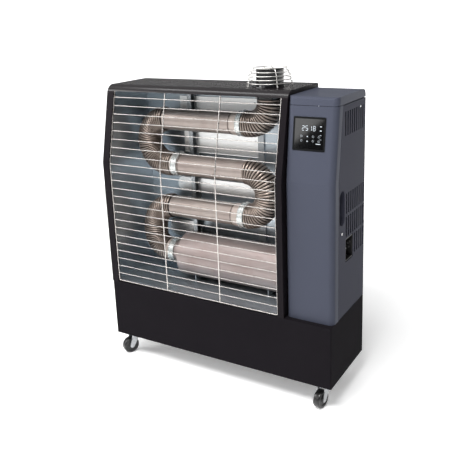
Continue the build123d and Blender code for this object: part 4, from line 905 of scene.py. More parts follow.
def new_tree(name: str, inputs: dict[str, str]) -> tuple[bpy.types.NodeTree, bpy.types.Node]:
    """Starts a Geometry Nodes tree with named inputs and a last one for its finish.

    Args:
        name: The tree's name.
        inputs: Each input's socket type by its name, after the geometry.

    Returns:
        The tree and its input node.
    """
    tree = bpy.data.node_groups.new(name, "GeometryNodeTree")
    tree.interface.new_socket("Geometry", in_out="INPUT", socket_type="NodeSocketGeometry")
    for label, kind in inputs.items():
        tree.interface.new_socket(label, in_out="INPUT", socket_type=kind)
    tree.interface.new_socket("Finish", in_out="INPUT", socket_type="NodeSocketMaterial")
    tree.interface.new_socket("Geometry", in_out="OUTPUT", socket_type="NodeSocketGeometry")
    return tree, add_node(tree, "NodeGroupInput")


def end_tree(
    tree: bpy.types.NodeTree, shape: bpy.types.NodeSocket, finish: bpy.types.NodeSocket
) -> None:
    """Ends a tree in real geometry with its material.

    Args:
        tree: The tree.
        shape: The geometry it made.
        finish: The tree's input for the material that the geometry gets.
    """
    real = add_node(tree, "GeometryNodeRealizeInstances", inputs={"Geometry": shape})
    dressed = add_node(
        tree,
        "GeometryNodeSetMaterial",
        inputs={"Geometry": real.outputs["Geometry"], "Material": finish},
    )
    add_node(tree, "NodeGroupOutput", inputs={"Geometry": dressed.outputs["Geometry"]})


def fillet_path(corners: Sequence[Point], radii: Sequence[float], step: float = 4.0) -> list[Point]:
    """Rounds the corners of a path of straight runs.

    Args:
        corners: The path's corners.
        radii: The radius at each corner but the first and last.
        step: The turn between points on an arc, in degrees.

    Returns:
        The points of the rounded path.
    """
    points = [Vector(corners[0])]
    for before, corner, after, radius in zip(corners, corners[1:], corners[2:], radii):
        inward = (Vector(before) - Vector(corner)).normalized()
        outward = (Vector(after) - Vector(corner)).normalized()
        half = inward.angle(outward) / 2
        reach = radius / math.tan(half)
        middle = (inward + outward).normalized()
        centre = Vector(corner) + middle * (radius / math.sin(half))
        start = Vector(corner) + inward * reach - centre
        end = Vector(corner) + outward * reach - centre
        turn = start.angle(end)
        count = max(2, round(math.degrees(turn) / step))
        for place in range(count + 1):
            share = place / count
            arm = (
                start * math.sin((1 - share) * turn) + end * math.sin(share * turn)
            ) / math.sin(turn)
            points.append(centre + arm)
    points.append(Vector(corners[-1]))
    return [tuple(point) for point in points]


def wire_section(
    tree: bpy.types.NodeTree, given: bpy.types.Node, diameter: str
) -> bpy.types.NodeSocket:
    """Adds the round section of a wire to a tree that has a Sides input.

    Args:
        tree: The tree.
        given: Its input node.
        diameter: The name of the input that holds the wire's diameter.

    Returns:
        The section's curve.
    """
    radius = add_node(
        tree, "ShaderNodeMath", {"operation": "DIVIDE"}, {0: given.outputs[diameter], 1: 2.0}
    )
    section = add_node(
        tree,
        "GeometryNodeCurvePrimitiveCircle",
        inputs={"Resolution": given.outputs["Sides"], "Radius": radius.outputs[0]},
    )
    return section.outputs["Curve"]


def wire_tree() -> bpy.types.NodeTree:
    """Gives the tree that sweeps round wire along paths, made on first use.

    Returns:
        The tree.
    """
    known = bpy.data.node_groups.get("round_wire")
    if known is not None:
        return known
    tree, given = new_tree("round_wire", {"Diameter": "NodeSocketFloat", "Sides": "NodeSocketInt"})
    route = add_node(tree, "GeometryNodeMeshToCurve", inputs={"Mesh": given.outputs["Geometry"]})
    swept = add_node(
        tree,
        "GeometryNodeCurveToMesh",
        inputs={
            "Curve": route.outputs["Curve"],
            "Profile Curve": wire_section(tree, given, "Diameter"),
            "Fill Caps": True,
        },
    )
    end_tree(tree, swept.outputs["Mesh"], given.outputs["Finish"])
    return tree


def bend_wire(
    name: str,
    runs: Sequence[Sequence[Point]],
    diameter: float,
    finish: Finish,
    closed: bool = False,
    sides: int = 12,
) -> bpy.types.Mesh:
    """Makes round wire along runs of points.

    Args:
        name: The mesh's name.
        runs: The points of each wire, in metres.
        diameter: The wire's diameter in millimetres.
        finish: The wire's finish.
        closed: Whether each wire is a ring.
        sides: How many sides the wire has.

    Returns:
        The mesh of the wires.
    """
    values = {"Diameter": diameter * MM, "Sides": sides}
    mesh = grow(name, path_mesh(f"{name}_path", runs, closed), wire_tree(), values, finish)
    smooth(mesh)
    return mesh


def screw_tree() -> bpy.types.NodeTree:
    """Builds the tree that sets a domed screw or rivet head on each point of the seed.

    Returns:
        The tree.
    """
    tree, given = new_tree(
        "fastener_heads",
        {"Diameter": "NodeSocketFloat", "Rise": "NodeSocketFloat", "Turn": "NodeSocketVector"},
    )
    known: dict[str, bpy.types.NodeSocket] = {name: given.outputs[name] for name in ("Diameter", "Rise")}
    for name, operation, first, second in (
        ("radius", "DIVIDE", "Diameter", 2.0),
        ("flat", "MULTIPLY", "radius", HEAD_FLAT),
        ("shoulder", "MULTIPLY", "Rise", HEAD_SHOULDER),
        ("crown", "SUBTRACT", "Rise", "shoulder"),
    ):
        inputs = {0: known[first], 1: known.get(second, second)}
        known[name] = add_node(tree, "ShaderNodeMath", {"operation": operation}, inputs).outputs[0]
    head = add_node(tree, "GeometryNodeJoinGeometry")
    skirt = add_node(
        tree,
        "GeometryNodeMeshCone",
        inputs={
            "Vertices": HEAD_SIDES,
            "Radius Top": known["radius"],
            "Radius Bottom": known["radius"],
            "Depth": known["shoulder"],
        },
    )
    crown = add_node(
        tree,
        "GeometryNodeMeshCone",
        inputs={
            "Vertices": HEAD_SIDES,
            "Radius Top": known["flat"],
            "Radius Bottom": known["radius"],
            "Depth": known["crown"],
        },
    )
    lift = add_node(tree, "ShaderNodeCombineXYZ", inputs={"Z": known["shoulder"]})
    lifted = add_node(
        tree,
        "GeometryNodeTransform",
        inputs={"Geometry": crown.outputs["Mesh"], "Translation": lift.outputs["Vector"]},
    )
    tree.links.new(skirt.outputs["Mesh"], head.inputs["Geometry"])
    tree.links.new(lifted.outputs["Geometry"], head.inputs["Geometry"])
    placed = add_node(
        tree,
        "GeometryNodeInstanceOnPoints",
        inputs={
            "Points": given.outputs["Geometry"],
            "Instance": head.outputs["Geometry"],
            "Rotation": given.outputs["Turn"],
        },
    )
    end_tree(tree, placed.outputs["Instances"], given.outputs["Finish"])
    return tree


def merged(name: str, parts: Iterable[bpy.types.Mesh]) -> bpy.types.Mesh:
    """Puts several meshes with the same finish into one.

    Args:
        name: The new mesh's name.
        parts: The meshes, in place; they are used up.

    Returns:
        The one mesh.
    """
    work = bmesh.new()
    for part in parts:
        work.from_mesh(part)
        bpy.data.meshes.remove(part)
    mesh = bpy.data.meshes.new(name)
    work.to_mesh(mesh)
    work.free()
    smooth(mesh)
    return mesh


def extruded(
    name: str,
    outline: Sequence[Pair],
    start: Point,
    across: Vector,
    up: Vector,
    depth: float,
) -> bpy.types.Mesh:
    """Extrudes a closed outline into a solid.

    Args:
        name: The mesh's name.
        outline: The outline's points as distances along across and up, in metres.
        start: Where the outline's zero lies, in metres.
        across: The direction of the first distance.
        up: The direction of the second distance.
        depth: How far it is extruded along across times up, in metres.

    Returns:
        A closed mesh whose faces point outwards.
    """
    through = across.cross(up).normalized() * depth
    work = bmesh.new()
    near = [work.verts.new(Vector(start) + across * x + up * y) for x, y in outline]
    face = work.faces.new(near)
    far = bmesh.ops.extrude_face_region(work, geom=[face])["geom"]
    moved = [item for item in far if isinstance(item, bmesh.types.BMVert)]
    bmesh.ops.translate(work, verts=moved, vec=through)
    bmesh.ops.recalc_face_normals(work, faces=work.faces)
    mesh = bpy.data.meshes.new(name)
    work.to_mesh(mesh)
    work.free()
    return mesh


@dataclass(frozen=True)
class Layout:
    """The heater's shared places, in millimetres, as the source has them."""

    bulge: float = 762.0
    hood_top: float = 1035.0
    tube_y: float = 24.0
    chamber_z: float = 399.5
    lower_z: float = 576.5
    middle_z: float = 738.0
    upper_z: float = 904.0
    flue_x: float = 158.0


LAYOUT = Layout()


class Cabinet:
    """The painted cabinet, the burner parts and every other CAD node whose shape is right."""

    def dress(self) -> None:
        """Gives each CAD node that stays its finish."""
        for node, finish in CAD_FINISHES.items():
            self.paint_node(node, finish)
        for place in CASTER_PLACES:
            self.paint_node(f"caster_fork_{place}", ZINC)

    def paint_node(self, node: str, finish: Finish) -> None:
        """Puts one finish on all of a CAD node.

        Args:
            node: The node's name.
            finish: The finish it gets.
        """
        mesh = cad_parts[node].data
        if not mesh.materials:
            mesh.materials.append(finish.material())
        for place in range(len(mesh.materials)):
            mesh.materials[place] = finish.material()


@dataclass
class RibbedBends:
    """The corrugated bends between the tubes and up to the flue."""

    pitch: float = 8.75
    root: float = 80.0
    crest: float = 90.0
    bore: float = 74.0
    cuff: float = 1.5
    step: float = 1.1
    sides: int = 56
    left_bend_x: float = -265.0
    left_tail: float = 23.0
    right_bend_x: float = 60.0
    neck_x: float = -283.0
    low_radius: float = 65.0
    high_radius: float = 93.5
    outlet_radius: float = 80.0
    outlet_top: float = 996.0
    # A rib is a half wave raised to this power.
    bluntness: float = 0.65
    end_gap: float = 0.01
    weld: float = 0.005
    crease: float = 60.0

    def tree(self) -> bpy.types.NodeTree:
        """Builds the tree that grows a ribbed hose along a path.

        Returns:
            The tree.
        """
        lengths = ("Step", "Pitch", "Root", "Crest", "Bore", "Cuff")
        tree, given = new_tree(
            "ribbed_hose", {**{name: "NodeSocketFloat" for name in lengths}, "Sides": "NodeSocketInt"}
        )
        route = add_node(tree, "GeometryNodeMeshToCurve", inputs={"Mesh": given.outputs["Geometry"]})
        length = add_node(tree, "GeometryNodeCurveLength", inputs={"Curve": route.outputs["Curve"]})
        fine = add_node(
            tree,
            "GeometryNodeResampleCurve",
            {"mode": "LENGTH"},
            {"Curve": route.outputs["Curve"], "Length": given.outputs["Step"]},
        )
        known: dict[str, bpy.types.NodeSocket] = {name: given.outputs[name] for name in lengths}
        known["length"] = length.outputs[0]
        known["along"] = add_node(tree, "GeometryNodeSplineParameter").outputs["Length"]
        for name, operation, first, second in self.sums():
            inputs = {0: known[first], 1: known.get(second, second)}
            known[name] = add_node(tree, "ShaderNodeMath", {"operation": operation}, inputs).outputs[0]
        marked = add_node(
            tree,
            "GeometryNodeStoreNamedAttribute",
            {"data_type": "FLOAT", "domain": "POINT"},
            {"Geometry": fine.outputs["Curve"], "Name": "crest", "Value": known["height"]},
        ).outputs["Geometry"]
        outside = self.skin(tree, marked, known["wall"], given.outputs["Sides"])
        lining = self.skin(tree, marked, known["Bore"], given.outputs["Sides"])
        lining = add_node(tree, "GeometryNodeFlipFaces", inputs={"Mesh": lining}).outputs["Mesh"]
        joined = add_node(tree, "GeometryNodeJoinGeometry")
        tree.links.new(outside, joined.inputs["Geometry"])
        tree.links.new(lining, joined.inputs["Geometry"])
        whole = add_node(
            tree,
            "GeometryNodeMergeByDistance",
            inputs={"Geometry": joined.outputs["Geometry"], "Distance": self.weld * MM},
        )
        end_tree(tree, whole.outputs["Geometry"], given.outputs["Finish"])
        return tree

    def sums(self) -> tuple[tuple[str, str, str, str | float], ...]:
        """Lists the hose's arithmetic, in the order it is done.

        Returns:
            The result's name, its operation and its two terms, each a name or a number, for each step.
        """
        return (
            # Whole ribs fill the run between the cuffs.
            ("both_cuffs", "MULTIPLY", "Cuff", 2.0),
            ("run", "SUBTRACT", "length", "both_cuffs"),
            ("pitches", "DIVIDE", "run", "Pitch"),
            ("ribs", "ROUND", "pitches", 0.0),
            ("after_cuff", "SUBTRACT", "along", "Cuff"),
            ("share", "DIVIDE", "after_cuff", "run"),
            ("phase", "MULTIPLY", "share", "ribs"),
            # Each rib is a blunted half wave.
            ("angle", "MULTIPLY", "phase", math.pi),
            ("swing", "SINE", "angle", 0.0),
            ("wave", "ABSOLUTE", "swing", 0.0),
            ("blunt", "POWER", "wave", self.bluntness),
            ("past_cuff", "GREATER_THAN", "after_cuff", 0.0),
            ("before_cuff", "LESS_THAN", "after_cuff", "run"),
            ("ribbed", "MULTIPLY", "past_cuff", "before_cuff"),
            ("height", "MULTIPLY", "blunt", "ribbed"),
            ("rise", "SUBTRACT", "Crest", "Root"),
            ("lift", "MULTIPLY", "height", "rise"),
            ("outer", "ADD", "Root", "lift"),
            # The wall closes down to the bore at both ends.
            ("past_start", "GREATER_THAN", "along", self.end_gap * MM),
            ("last_place", "SUBTRACT", "length", self.end_gap * MM),
            ("before_end", "LESS_THAN", "along", "last_place"),
            ("inside", "MULTIPLY", "past_start", "before_end"),
            ("thickness", "SUBTRACT", "outer", "Bore"),
            ("open_thickness", "MULTIPLY", "thickness", "inside"),
            ("wall", "ADD", "Bore", "open_thickness"),
        )

    def skin(
        self,
        tree: bpy.types.NodeTree,
        route: bpy.types.NodeSocket,
        radius: bpy.types.NodeSocket,
        sides: bpy.types.NodeSocket,
    ) -> bpy.types.NodeSocket:
        """Sweeps a circle along a route, as wide as the radius says at each point.

        Args:
            tree: The tree that gets the nodes.
            route: The route's curve.
            radius: The radius at each of its points.
            sides: How many sides the circle has.

        Returns:
            The swept mesh.
        """
        ring = add_node(
            tree, "GeometryNodeCurvePrimitiveCircle", inputs={"Resolution": sides, "Radius": 1.0}
        )
        swept = add_node(
            tree,
            "GeometryNodeCurveToMesh",
            inputs={"Curve": route, "Profile Curve": ring.outputs["Curve"], "Scale": radius},
        )
        return swept.outputs["Mesh"]

    def arc(
        self, centre: Pair, radius: float, start: float, turn: float
    ) -> list[Pair]:
        """Points of an arc in the tubes' plane, two degrees apart.

        Args:
            centre: Its centre's x and z.
            radius: Its radius.
            start: The angle it starts at, in degrees.
            turn: The angle it turns through, in degrees.

        Returns:
            The x and z of each point.
        """
        count = round(abs(turn) / 2)
        angles = [math.radians(start + turn * step / count) for step in range(count + 1)]
        return [
            (centre[0] + radius * math.cos(angle), centre[1] + radius * math.sin(angle))
            for angle in angles
        ]

    def routes(self) -> dict[str, list[Pair]]:
        """Lays out the centre line of each bend.

        Returns:
            The x and z of each line's points, in millimetres, by CAD node.
        """
        low, mid, high = LAYOUT.lower_z, LAYOUT.middle_z, LAYOUT.upper_z
        side_x = self.neck_x - self.low_radius
        upper_radius = (high - mid) / 2
        right_radius = (mid - low) / 2
        turn_x = LAYOUT.flue_x - self.outlet_radius
        return {
            "bend_lower_left": self.arc(
                (self.neck_x, LAYOUT.chamber_z + self.low_radius), self.low_radius, -90.0, -90.0
            )
            + self.arc((side_x + self.high_radius, low - self.high_radius), self.high_radius, 180.0, -90.0),
            "bend_right": self.arc((self.right_bend_x, low + right_radius), right_radius, -90.0, 180.0),
            "bend_upper_left": [(self.left_bend_x + self.left_tail, mid)]
            + self.arc((self.left_bend_x, mid + upper_radius), upper_radius, -90.0, -180.0),
            "outlet_elbow": [(self.right_bend_x, high)]
            + self.arc((turn_x, high + self.outlet_radius), self.outlet_radius, -90.0, 90.0)
            + [(LAYOUT.flue_x, self.outlet_top)],
        }

    def build(self) -> None:
        """Grows every bend on its route."""
        tree = self.tree()
        values = {
            "Step": self.step * MM,
            "Pitch": self.pitch * MM,
            "Root": self.root / 2 * MM,
            "Crest": self.crest / 2 * MM,
            "Bore": self.bore / 2 * MM,
            "Cuff": self.cuff * MM,
            "Sides": self.sides,
        }
        for node, route in self.routes().items():
            points = [(x * MM, LAYOUT.tube_y * MM, z * MM) for x, z in route]
            mesh = grow(
                f"{node}_ribs", path_mesh(f"{node}_route", [points]), tree, values, HOSE_STEEL
            )
            smooth(mesh, self.crease)
            add_piece(f"{node}_ribs", mesh, (), "cabinet", (node,))


@dataclass
class WireGuard:
    """The bright wire guard over the opening, bent with the cabinet's front."""

    wire: float = 2.6
    bar_wire: float = 4.2
    frame_wire: float = 4.0
    pitch: float = 29.85
    rows: int = 23
    foot: float = 311.2
    plane: float = -138.8
    left: float = -410.3
    right: float = 252.3
    top: float = 1015.2
    lean: float = 12.59
    bend: float = 100.0
    corner: float = 7.0
    behind: float = 1.4
    bars: int = 2
    sides: int = 12
    bend_step: float = 1.5

    def tree(self) -> bpy.types.NodeTree:
        """Builds the tree that sets level wires up a bent upright, and inner uprights along them.

        Returns:
            The tree.
        """
        tree, given = new_tree(
            "wire_guard",
            {
                "Rows": "NodeSocketInt",
                "Bars": "NodeSocketInt",
                "Pitch": "NodeSocketFloat",
                "Left": "NodeSocketFloat",
                "Right": "NodeSocketFloat",
                "Wire": "NodeSocketFloat",
                "Bar Wire": "NodeSocketFloat",
                "Behind": "NodeSocketFloat",
                "Sides": "NodeSocketInt",
            },
        )
        upright = add_node(
            tree, "GeometryNodeMeshToCurve", inputs={"Mesh": given.outputs["Geometry"]}
        ).outputs["Curve"]
        section = wire_section(tree, given, "Wire")
        number = add_node(tree, "GeometryNodeInputIndex").outputs["Index"]
        counted = add_node(
            tree, "ShaderNodeMath", {"operation": "ADD"}, {0: number, 1: 1.0}
        ).outputs[0]
        run = add_node(
            tree, "ShaderNodeMath", {"operation": "MULTIPLY"}, {0: counted, 1: given.outputs["Pitch"]}
        ).outputs[0]
        level = add_node(
            tree, "GeometryNodeSampleCurve", {"mode": "LENGTH"}, {"Curves": upright, "Length": run}
        )
        places = add_node(tree, "GeometryNodeMeshLine", inputs={"Count": given.outputs["Rows"]})
        placed = add_node(
            tree,
            "GeometryNodeSetPosition",
            inputs={"Geometry": places.outputs["Mesh"], "Position": level.outputs["Position"]},
        )
        start = add_node(tree, "ShaderNodeCombineXYZ", inputs={"X": given.outputs["Left"]})
        end = add_node(tree, "ShaderNodeCombineXYZ", inputs={"X": given.outputs["Right"]})
        straight = add_node(
            tree,
            "GeometryNodeCurvePrimitiveLine",
            inputs={"Start": start.outputs["Vector"], "End": end.outputs["Vector"]},
        )
        bar = add_node(
            tree,
            "GeometryNodeCurveToMesh",
            inputs={"Curve": straight.outputs["Curve"], "Profile Curve": section, "Fill Caps": True},
        )
        rows = add_node(
            tree,
            "GeometryNodeInstanceOnPoints",
            inputs={"Points": placed.outputs["Geometry"], "Instance": bar.outputs["Mesh"]},
        )
        width = add_node(
            tree,
            "ShaderNodeMath",
            {"operation": "SUBTRACT"},
            {0: given.outputs["Right"], 1: given.outputs["Left"]},
        ).outputs[0]
        gaps = add_node(
            tree, "ShaderNodeMath", {"operation": "ADD"}, {0: given.outputs["Bars"], 1: 1.0}
        ).outputs[0]
        gap = add_node(tree, "ShaderNodeMath", {"operation": "DIVIDE"}, {0: width, 1: gaps}).outputs[0]
        across = add_node(
            tree,
            "ShaderNodeMath",
            {"operation": "MULTIPLY_ADD"},
            {0: counted, 1: gap, 2: given.outputs["Left"]},
        ).outputs[0]
        bar_place = add_node(
            tree, "ShaderNodeCombineXYZ", inputs={"X": across, "Y": given.outputs["Behind"]}
        )
        bar_points = add_node(tree, "GeometryNodeMeshLine", inputs={"Count": given.outputs["Bars"]})
        bar_points = add_node(
            tree,
            "GeometryNodeSetPosition",
            inputs={"Geometry": bar_points.outputs["Mesh"], "Position": bar_place.outputs["Vector"]},
        )
        upright_bar = add_node(
            tree,
            "GeometryNodeCurveToMesh",
            inputs={
                "Curve": upright,
                "Profile Curve": wire_section(tree, given, "Bar Wire"),
                "Fill Caps": True,
            },
        )
        bars = add_node(
            tree,
            "GeometryNodeInstanceOnPoints",
            inputs={"Points": bar_points.outputs["Geometry"], "Instance": upright_bar.outputs["Mesh"]},
        )
        joined = add_node(tree, "GeometryNodeJoinGeometry")
        tree.links.new(rows.outputs["Instances"], joined.inputs["Geometry"])
        tree.links.new(bars.outputs["Instances"], joined.inputs["Geometry"])
        end_tree(tree, joined.outputs["Geometry"], given.outputs["Finish"])
        return tree

    def upright(self, x: float) -> list[Point]:
        """Bends an upright wire at the cabinet's bulge.

        Args:
            x: Where the wire stands, in millimetres.

        Returns:
            The wire's points from its foot up, in metres.
        """
        bend_z = LAYOUT.bulge
        lean = math.radians(self.lean)
        top_y = self.plane + (self.top - bend_z) * math.tan(lean)
        return fillet_path(
            (
                (x * MM, self.plane * MM, self.foot * MM),
                (x * MM, self.plane * MM, bend_z * MM),
                (x * MM, top_y * MM, self.top * MM),
            ),
            (self.bend * MM,),
            self.bend_step,
        )

    def outline(self) -> list[Point]:
        """Runs the frame's wire round the guard, with rounded corners.

        Returns:
            The closed wire's points, in metres.
        """
        left, right = self.upright(self.left), self.upright(self.right)
        corner = self.corner * MM
        lift = (Vector(left[-1]) - Vector(left[-2])).normalized() * corner
        points: list[Point] = []
        foot_left, foot_right = Vector(left[0]), Vector(right[0])
        top_left, top_right = Vector(left[-1]), Vector(right[-1])
        up, along = UPWARD * corner, RIGHTWARD * corner
        points += self.round_corner(foot_left + up, foot_left, foot_left + along)
        points += self.round_corner(foot_right - along, foot_right, foot_right + up)
        points += right[1:-1]
        points += self.round_corner(top_right - lift, top_right, top_right - along)
        points += self.round_corner(top_left + along, top_left, top_left - lift)
        points += left[-2:0:-1]
        return points

    def round_corner(self, start: Vector, corner: Vector, end: Vector) -> list[Point]:
        """Rounds a corner between two equal runs.

        Args:
            start: Where the rounding starts.
            corner: The sharp corner.
            end: Where the rounding ends.

        Returns:
            Five points from start to end.
        """
        return [
            tuple(
                start * (1 - share) ** 2 + corner * (2 * share * (1 - share)) + end * share**2
            )
            for share in (0.0, 0.25, 0.5, 0.75, 1.0)
        ]

    def build(self) -> None:
        """Grows the guard's wires and its frame as one piece."""
        seed = path_mesh("guard_upright", [self.upright(0.0)])
        wires = grow(
            "guard_wires",
            seed,
            self.tree(),
            {
                "Rows": self.rows,
                "Bars": self.bars,
                "Pitch": self.pitch * MM,
                "Left": self.left * MM,
                "Right": self.right * MM,
                "Wire": self.wire * MM,
                "Bar Wire": self.bar_wire * MM,
                "Behind": self.behind * MM,
                "Sides": self.sides,
            },
            WIRE_CHROME,
        )
        smooth(wires)
        add_piece("guard_wires", wires, (), "cabinet", ("guard_grille",))
        rim = bend_wire("guard_frame", [self.outline()], self.frame_wire, WIRE_CHROME, True, self.sides)
        add_piece("guard_frame", rim, (), "cabinet", ("guard_grille",))


@dataclass
class FlueGuard:
    """The wire dome over the flue's mouth: level rings on four legs, with a loop on top."""

    wire: float = 2.4
    rings: int = 5
    ring_points: int = 96
    # The rings stand outside the legs by this many wires.
    ring_offset: float = 0.8
    low_radius: float = 75.0
    shoulder_radius: float = 68.0
    shoulder_rise: float = 36.0
    top_radius: float = 54.0
    low_rise: float = 13.0
    top_rise: float = 60.0
    loop: float = 13.0
    loop_lift: float = 4.0
    loop_points: int = 32
    foot: float = 6.0
    toe_rise: float = 4.5
    legs: int = 4
    first_leg: float = -45.0
    leg_bends: tuple[float, ...] = (1.4, 1.4, 20.0, 8.0)
    bend_step: float = 12.0
    sides: int = 10

    def leg_radius(self, rise: float) -> float:
        """Finds how far a leg stands from the flue's axis.

        Args:
            rise: The height over the hood, in millimetres.

        Returns:
            The distance in millimetres.
        """
        if rise <= self.shoulder_rise:
            share = rise / self.shoulder_rise
            return self.low_radius + share * (self.shoulder_radius - self.low_radius)
        share = (rise - self.shoulder_rise) / (self.top_rise - self.shoulder_rise)
        return self.shoulder_radius + share * (self.top_radius - self.shoulder_radius)

    def spot(self, reach: float, angle: float, rise: float) -> Point:
        """Finds a point round the flue's axis.

        Args:
            reach: Its distance from the axis, in millimetres.
            angle: Its angle round the axis, in radians.
            rise: Its height over the hood, in millimetres.

        Returns:
            The point, in metres.
        """
        return (
            (LAYOUT.flue_x + reach * math.cos(angle)) * MM,
            (LAYOUT.tube_y + reach * math.sin(angle)) * MM,
            (LAYOUT.hood_top + rise) * MM,
        )

    def leg(self, angle: float) -> list[Point]:
        """Bends one leg of the dome.

        Args:
            angle: Its angle round the flue, in degrees.

        Returns:
            The leg's points from its foot to the loop, in metres.
        """
        stops = (
            (self.low_radius + self.foot, self.wire / 2 + self.toe_rise),
            (self.low_radius + self.foot / 2, self.wire / 2),
            (self.low_radius, self.wire / 2),
            (self.shoulder_radius, self.shoulder_rise),
            (self.top_radius, self.top_rise),
            (self.loop / 2, self.top_rise + self.loop_lift),
        )
        corners = [self.spot(reach, math.radians(angle), rise) for reach, rise in stops]
        return fillet_path(corners, [bend * MM for bend in self.leg_bends], self.bend_step)

    def ring(self, radius: float, rise: float, count: int) -> list[Point]:
        """The points of one level ring, in metres."""
        return [self.spot(radius, 2 * math.pi * step / count, rise) for step in range(count)]

    def build(self) -> None:
        """Makes the legs, the rings and the loop."""
        step = (self.top_rise - self.low_rise) / (self.rings - 1)
        rises = [self.low_rise + step * place for place in range(self.rings)]
        outside = self.wire * self.ring_offset
        rings = [self.ring(self.leg_radius(rise) + outside, rise, self.ring_points) for rise in rises]
        loop_rise = self.top_rise + self.loop_lift
        rings.append(self.ring(self.loop / 2, loop_rise, self.loop_points))
        legs = [self.leg(self.first_leg + 360.0 / self.legs * place) for place in range(self.legs)]
        for name, runs, closed in (("flue_guard_rings", rings, True), ("flue_guard_legs", legs, False)):
            wires = bend_wire(name, runs, self.wire, DOME_CHROME, closed, self.sides)
            add_piece(name, wires, (), "cabinet", ("flue_guard",))


@dataclass(frozen=True)
class ClampPlace:
    """Where one clamp and its sleeve sit on the tubes, in millimetres."""

    band: Pair
    sleeve: Pair
    level: float
    girth: float = 42.6


